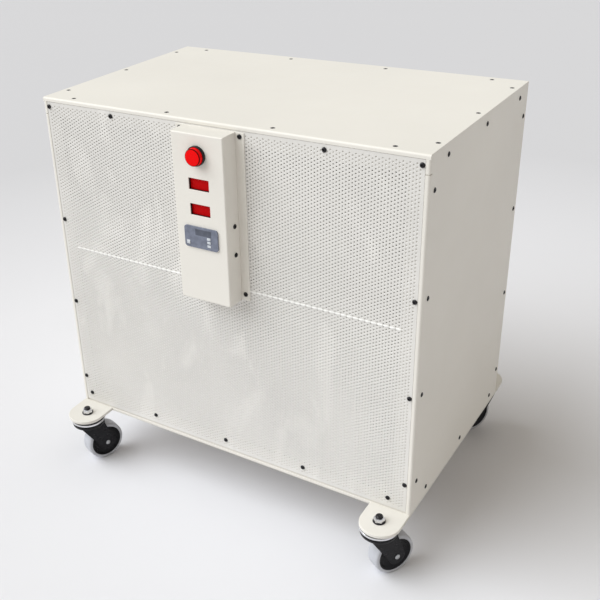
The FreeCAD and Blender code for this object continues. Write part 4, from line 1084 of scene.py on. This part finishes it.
class FILTERUNIT_OT_casters(bpy.types.Operator):
    """Build the four casters: chrome swivel ring, black fork, dished wheel, tread, axle and nut"""
    bl_idname = "filter_unit.casters"
    bl_label = "Casters"

    def execute(self, context):
        sizes = settings().casters
        for corner in CORNERS:
            own, wheel = caster_place(corner)
            self.swivel_ring(corner, sizes, own)
            self.fork(corner, sizes, own, own.inverted() @ wheel.translation)
            self.wheel(corner, sizes, wheel)
            self.axle(corner, sizes.axle_radius, wheel)
        self.nuts(sizes)
        return {"FINISHED"}

    def swivel_ring(self, corner, sizes, own):
        """A bright race between grooves painted dark as shade, a threaded stem above it and the
        kingpin below.
        """
        turns, tip_inset, tip_drop = 9, 0.001, 0.0008
        node = f"{corner}_caster_ring"
        low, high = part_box(node)
        plate, deck = (side.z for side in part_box("base_plate"))
        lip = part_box(f"{corner}_caster_fork")[1].z + sizes.play
        tip = deck + (high.z - deck) * sizes.stem_show
        ring, stem, pin = sizes.ring_radius, sizes.stem_radius, sizes.kingpin_radius - sizes.play
        thread = [(stem - sizes.thread * (turn % 2), tip - tip_drop - sizes.thread * turn)
                  for turn in range(turns)]
        neck = [(0, tip), (stem - tip_inset, tip), *thread, (stem, deck), (stem, plate),
                *eased(ring, plate, RACE_NECK)]
        race = eased(ring, plate, RACE_TOP) + eased(ring, lip, RACE_FOOT)
        kingpin = [*eased(ring, lip, RACE_GROOVE), (pin, lip), *eased(pin, low.z, KINGPIN_HEAD),
                   (0, low.z)]
        place = Matrix.Translation((*own.translation.xy, 0))
        bm = bmesh.new()
        # The neck and kingpin take the dark screw finish, which paints the grooves beside the race
        # dark as shade and as the plate's reflected shadow
        for profile, finish_index in ((neck, 1), (race, 0), (kingpin, 1)):
            lathe(bm, profile, RING_SIDES, place, finish_index)
        bmesh.ops.remove_doubles(bm, verts=bm.verts, dist=SEAM_WELD)
        finish_piece(bm, f"{corner}_swivel_race", "cabinet", node, "chrome_ring",
                     ("chrome_ring", "screw_dark"), turn=True)

    def fork(self, corner, sizes, own, lug):
        """A round pressed crown with two broad legs that taper to the lugs of the axle."""
        leg_inset, leg_drop, front_drop, lug_arc = 0.0004, 0.0016, 0.003, range(-158, 21, 12)
        node = f"{corner}_caster_fork"
        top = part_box(node)[1].z
        ring, pin, hem = sizes.crown_radius, sizes.kingpin_radius, top - sizes.skirt
        skirt = eased(ring, hem, SKIRT_EDGE)
        under = top - sizes.fork_gauge
        bm = bmesh.new()
        lathe(bm, [(pin, top), *eased(ring, top, CROWN_EDGE), *skirt, (skirt[-1][0], under),
                   (pin, under)], RING_SIDES, own, closed=True)
        inside = sizes.wheel_width / 2 + sizes.fork_gap
        outside = inside + sizes.fork_gauge
        reach = math.sqrt(ring ** 2 - outside ** 2) - leg_inset
        outline = [(-reach, top - leg_drop), (-reach, hem),
                   *arc((lug.x, lug.z), sizes.lug_radius, lug_arc),
                   (reach, hem - front_drop), (reach, top - leg_drop)]
        prism(bm, outline, -outside, -inside, own @ OUT_OF_FRONT)
        prism(bm, outline, inside, outside, own @ OUT_OF_FRONT)
        sharp = sharp_edges(bm, PRESSED_ABOVE)
        bmesh.ops.recalc_face_normals(bm, faces=bm.faces)
        round_over(bm, sharp, settings().edges.fork, 3, clamp=False)
        finish_piece(bm, f"{corner}_pressed_fork", f"{corner}_fork", node, "fork_black")

    def wheel(self, corner, sizes, place):
        """A round-shouldered tread on a dished hub with a raised middle."""
        body, tyre = f"{corner}_wheel", f"{corner}_caster_tyre"
        low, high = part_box(tyre)
        radius, half, seat = (high.z - low.z) / 2, sizes.wheel_width / 2, sizes.hub_radius
        tread = [(seat, half), *eased(radius, half, TREAD_SHOULDER)]
        bm = bmesh.new()
        lathe(bm, both_sides(tread), RING_SIDES, place, closed=True)
        finish_piece(bm, f"{corner}_tread", body, tyre, "tyre_grey", turn=True)
        boss, hollow = half + sizes.boss_rise, half - sizes.dish
        hub = [(sizes.bore, boss), *eased(sizes.boss_radius, boss, BOSS_EDGE),
               *eased(sizes.boss_radius, hollow, DISH_FOOT), *eased(seat, hollow, DISH_SIDE),
               *eased(seat, half, HUB_RIM)]
        bm = bmesh.new()
        lathe(bm, both_sides(hub), HUB_SIDES, place, closed=True)
        finish_piece(bm, f"{corner}_dished_hub", body, f"{corner}_caster_hub", "hub_black",
                     turn=True)

    def axle(self, corner, radius, place):
        """A riveted pin, domed at both ends, as long as the CAD's."""
        node = f"{corner}_caster_axle"
        back = place.inverted()
        reach = max((back @ vert.co).z for vert in frame["nodes"][node].data.vertices)
        end = [(radius * share, reach - drop) for share, drop in RIVET_END]
        bm = bmesh.new()
        lathe(bm, [(across, -offset) for across, offset in reversed(end)] + end, AXLE_SIDES, place)
        finish_piece(bm, f"{corner}_riveted_axle", f"{corner}_fork", node, "zinc_steel",
                     ("motor_metal",), turn=True)

    def nuts(self, sizes):
        """Flange nuts: a bright hexagon with turned-down corners over a dark flange."""
        fit, draft, slope, bevel, crown = 0.0001, 0.0002, 0.7, 0.0016, 0.96
        heading = Matrix.Rotation(math.radians(17), 4, "Z")
        rim, seat, bore = sizes.nut_flange, sizes.washer, sizes.stem_radius + fit
        across = sizes.nut_flats / 2
        point = across / math.cos(math.pi / NUT_SIDES)
        washer = [(bore, 0), *eased(rim, 0, WASHER_FOOT), (rim - draft, seat * slope),
                  (across, seat), (bore, seat)]
        bm = bmesh.new()
        for low, high in islands("caster_nuts"):
            middle, tall = (low + high) / 2, (high.z - low.z) * sizes.stem_show
            place = Matrix.Translation((middle.x, middle.y, low.z)) @ heading
            nut = [(bore, seat), (point, seat), (point, tall - bevel), (across * crown, tall),
                   *eased(bore, tall, NUT_MOUTH)]
            lathe(bm, washer, WASHER_SIDES, place, 1, closed=True)
            lathe(bm, nut, NUT_SIDES, place, 0, closed=True)
        finish_piece(bm, "flange_nuts", "cabinet", "caster_nuts", "chrome_ring",
                     ("bright_nut", "screw_dark"), turn=True)


class FILTERUNIT_OT_fan(bpy.types.Operator):
    """Finish the fan, its motor, its bracket and its intake"""
    bl_idname = "filter_unit.fan"
    bl_label = "Fan"

    def execute(self, context):
        paint("fan_plastic", "fan_impeller")
        paint("motor_metal", "fan_motor")
        paint("zinc_steel", "motor_bracket", "intake_mouth")
        return {"FINISHED"}


class FILTERUNIT_OT_mains_inlet(bpy.types.Operator):
    """Finish the mains inlet: a black moulded body with three plated blades"""
    bl_idname = "filter_unit.mains_inlet"
    bl_label = "Mains Inlet"

    def execute(self, context):
        edge_share, blade_count, slack = 0.8, 3, Vector((1e-5, 1e-5, 1e-5))
        solids = sorted(islands("mains_inlet"), key=lambda pair: (pair[1] - pair[0]).length)
        bm = soft_copy("mains_inlet", settings().edges.moulding * edge_share)
        for face in bm.faces:
            spot = face.calc_center_median()
            for low, high in solids[:blade_count]:
                if all(a <= b <= c for a, b, c in zip(low - slack, spot, high + slack)):
                    face.material_index = 1
        finish_piece(bm, "moulded_mains_inlet", "cabinet", "mains_inlet", "black_plastic",
                     ("black_plastic", "bright_nut"))
        return {"FINISHED"}


class FILTERUNIT_OT_stage(bpy.types.Operator):
    """Lay the studio floor, set the lamps and place the camera"""
    bl_idname = "filter_unit.stage"
    bl_label = "Stage"

    def execute(self, context):
        lights = settings().lights
        self.floor(settings().colours.floor)
        self.world(lights)
        self.lamp(lights)
        self.camera()
        context.scene.view_settings.view_transform = "Standard"
        return {"FINISHED"}

    def floor(self, tone):
        """Pale paper with a faint cloud, and painted shade that darkens it a little away from the
        unit.
        """
        bm = bmesh.new()
        bmesh.ops.create_grid(bm, x_segments=4, y_segments=4, size=FLOOR_REACH)
        mesh = as_mesh(bm, "floor")
        fixed = {"Roughness": 0.75, "Specular IOR Level": 0.25}
        material, tree, shader = blank("floor_paper", fixed)
        place = object_place(tree)
        away = add(tree, "ShaderNodeVectorMath", {0: place}, operation="LENGTH").outputs["Value"]
        cloud = between(tree, noise(tree, place, 1.2))
        near = blend_colours(tree, cloud, shade(tone, 0.99), tone)
        painted_falloff = between(tree, away, 0, 1, *FLOOR_SHADE_SPAN)
        plug(tree, shader.inputs["Base Color"], blend_colours(tree, painted_falloff, near, shade(tone, 0.82)))
        mesh.materials.append(material)
        new_piece("studio_floor", mesh)

    def world(self, lights):
        """Soft light from all round, while the camera and reflections see a pale room."""
        world = bpy.data.worlds.new("studio")
        world.use_nodes = True
        tree = world.node_tree
        rays = add(tree, "ShaderNodeLightPath", {}).outputs
        seen = math_node(tree, "MAXIMUM", rays["Is Camera Ray"], rays["Is Glossy Ray"])
        seen = math_node(tree, "MAXIMUM", seen, rays["Is Transmission Ray"])
        fill = tree.nodes["Background"]
        fill.inputs["Color"].default_value = (*lights.fill_colour, 1)
        fill.inputs["Strength"].default_value = lights.fill
        values = {"Color": (*lights.room, 1), "Strength": 1.0}
        room = add(tree, "ShaderNodeBackground", values).outputs[0]
        mixed = add(tree, "ShaderNodeMixShader", {0: seen, 1: fill.outputs[0], 2: room}).outputs[0]
        plug(tree, tree.nodes["World Output"].inputs["Surface"], mixed)
        bpy.context.scene.world = world

    def lamp(self, lights):
        """One wide soft lamp from the upper left."""
        data = bpy.data.lights.new("key_lamp", "SUN")
        data.energy, data.color, data.angle = lights.key, lights.key_colour, lights.spread
        new_piece("key_lamp", data).rotation_euler = LAMP_WAY.to_track_quat("-Z", "Y").to_euler()

    def camera(self):
        """The photograph's own view."""
        data = bpy.data.cameras.new("view")
        data.lens, data.sensor_width, data.shift_x, data.clip_end = LENS, SENSOR, SHIFT, VIEW_END
        turn = Matrix((CAMERA_RIGHT, -CAMERA_DOWN, -CAMERA_AHEAD)).transposed().to_4x4()
        camera = new_piece("view", data)
        camera.matrix_world = Matrix.Translation(CAMERA_PLACE) @ turn
        bpy.context.scene.camera = camera


BUILDERS = (
    FILTERUNIT_OT_panels, FILTERUNIT_OT_front_sheet, FILTERUNIT_OT_filters, FILTERUNIT_OT_screws,
    FILTERUNIT_OT_control_box, FILTERUNIT_OT_push_button, FILTERUNIT_OT_displays,
    FILTERUNIT_OT_keypad, FILTERUNIT_OT_casters, FILTERUNIT_OT_fan, FILTERUNIT_OT_mains_inlet,
    FILTERUNIT_OT_stage,
)


class FILTERUNIT_PT_sidebar(bpy.types.Panel):
    """The unit's sizes, colours and builders"""
    bl_idname = "FILTERUNIT_PT_sidebar"
    bl_label = "Filter Unit"
    bl_space_type = "VIEW_3D"
    bl_region_type = "UI"
    bl_category = "Filter Unit"

    def draw(self, context):
        unit = context.scene.filter_unit
        for name in FilterUnit.__annotations__:
            values = getattr(unit, name)
            column = self.layout.column()
            for value in values.__annotations__:
                column.prop(values, value)
        for builder in BUILDERS:
            self.layout.operator(builder.bl_idname)


CLASSES = (SheetSizes, EdgeSizes, FilterSizes, ButtonSizes, CasterSizes, Colours, Lights,
           FilterUnit, *BUILDERS, FILTERUNIT_PT_sidebar)


def register():
    for cls in CLASSES:
        bpy.utils.register_class(cls)
    bpy.types.Scene.filter_unit = PointerProperty(type=FilterUnit)


def unregister():
    del bpy.types.Scene.filter_unit
    for cls in reversed(CLASSES):
        bpy.utils.unregister_class(cls)


def main():
    register()
    for builder in BUILDERS:
        family, name = builder.bl_idname.split(".")
        getattr(getattr(bpy.ops, family), name)()


if __name__ == "__main__":
    main()
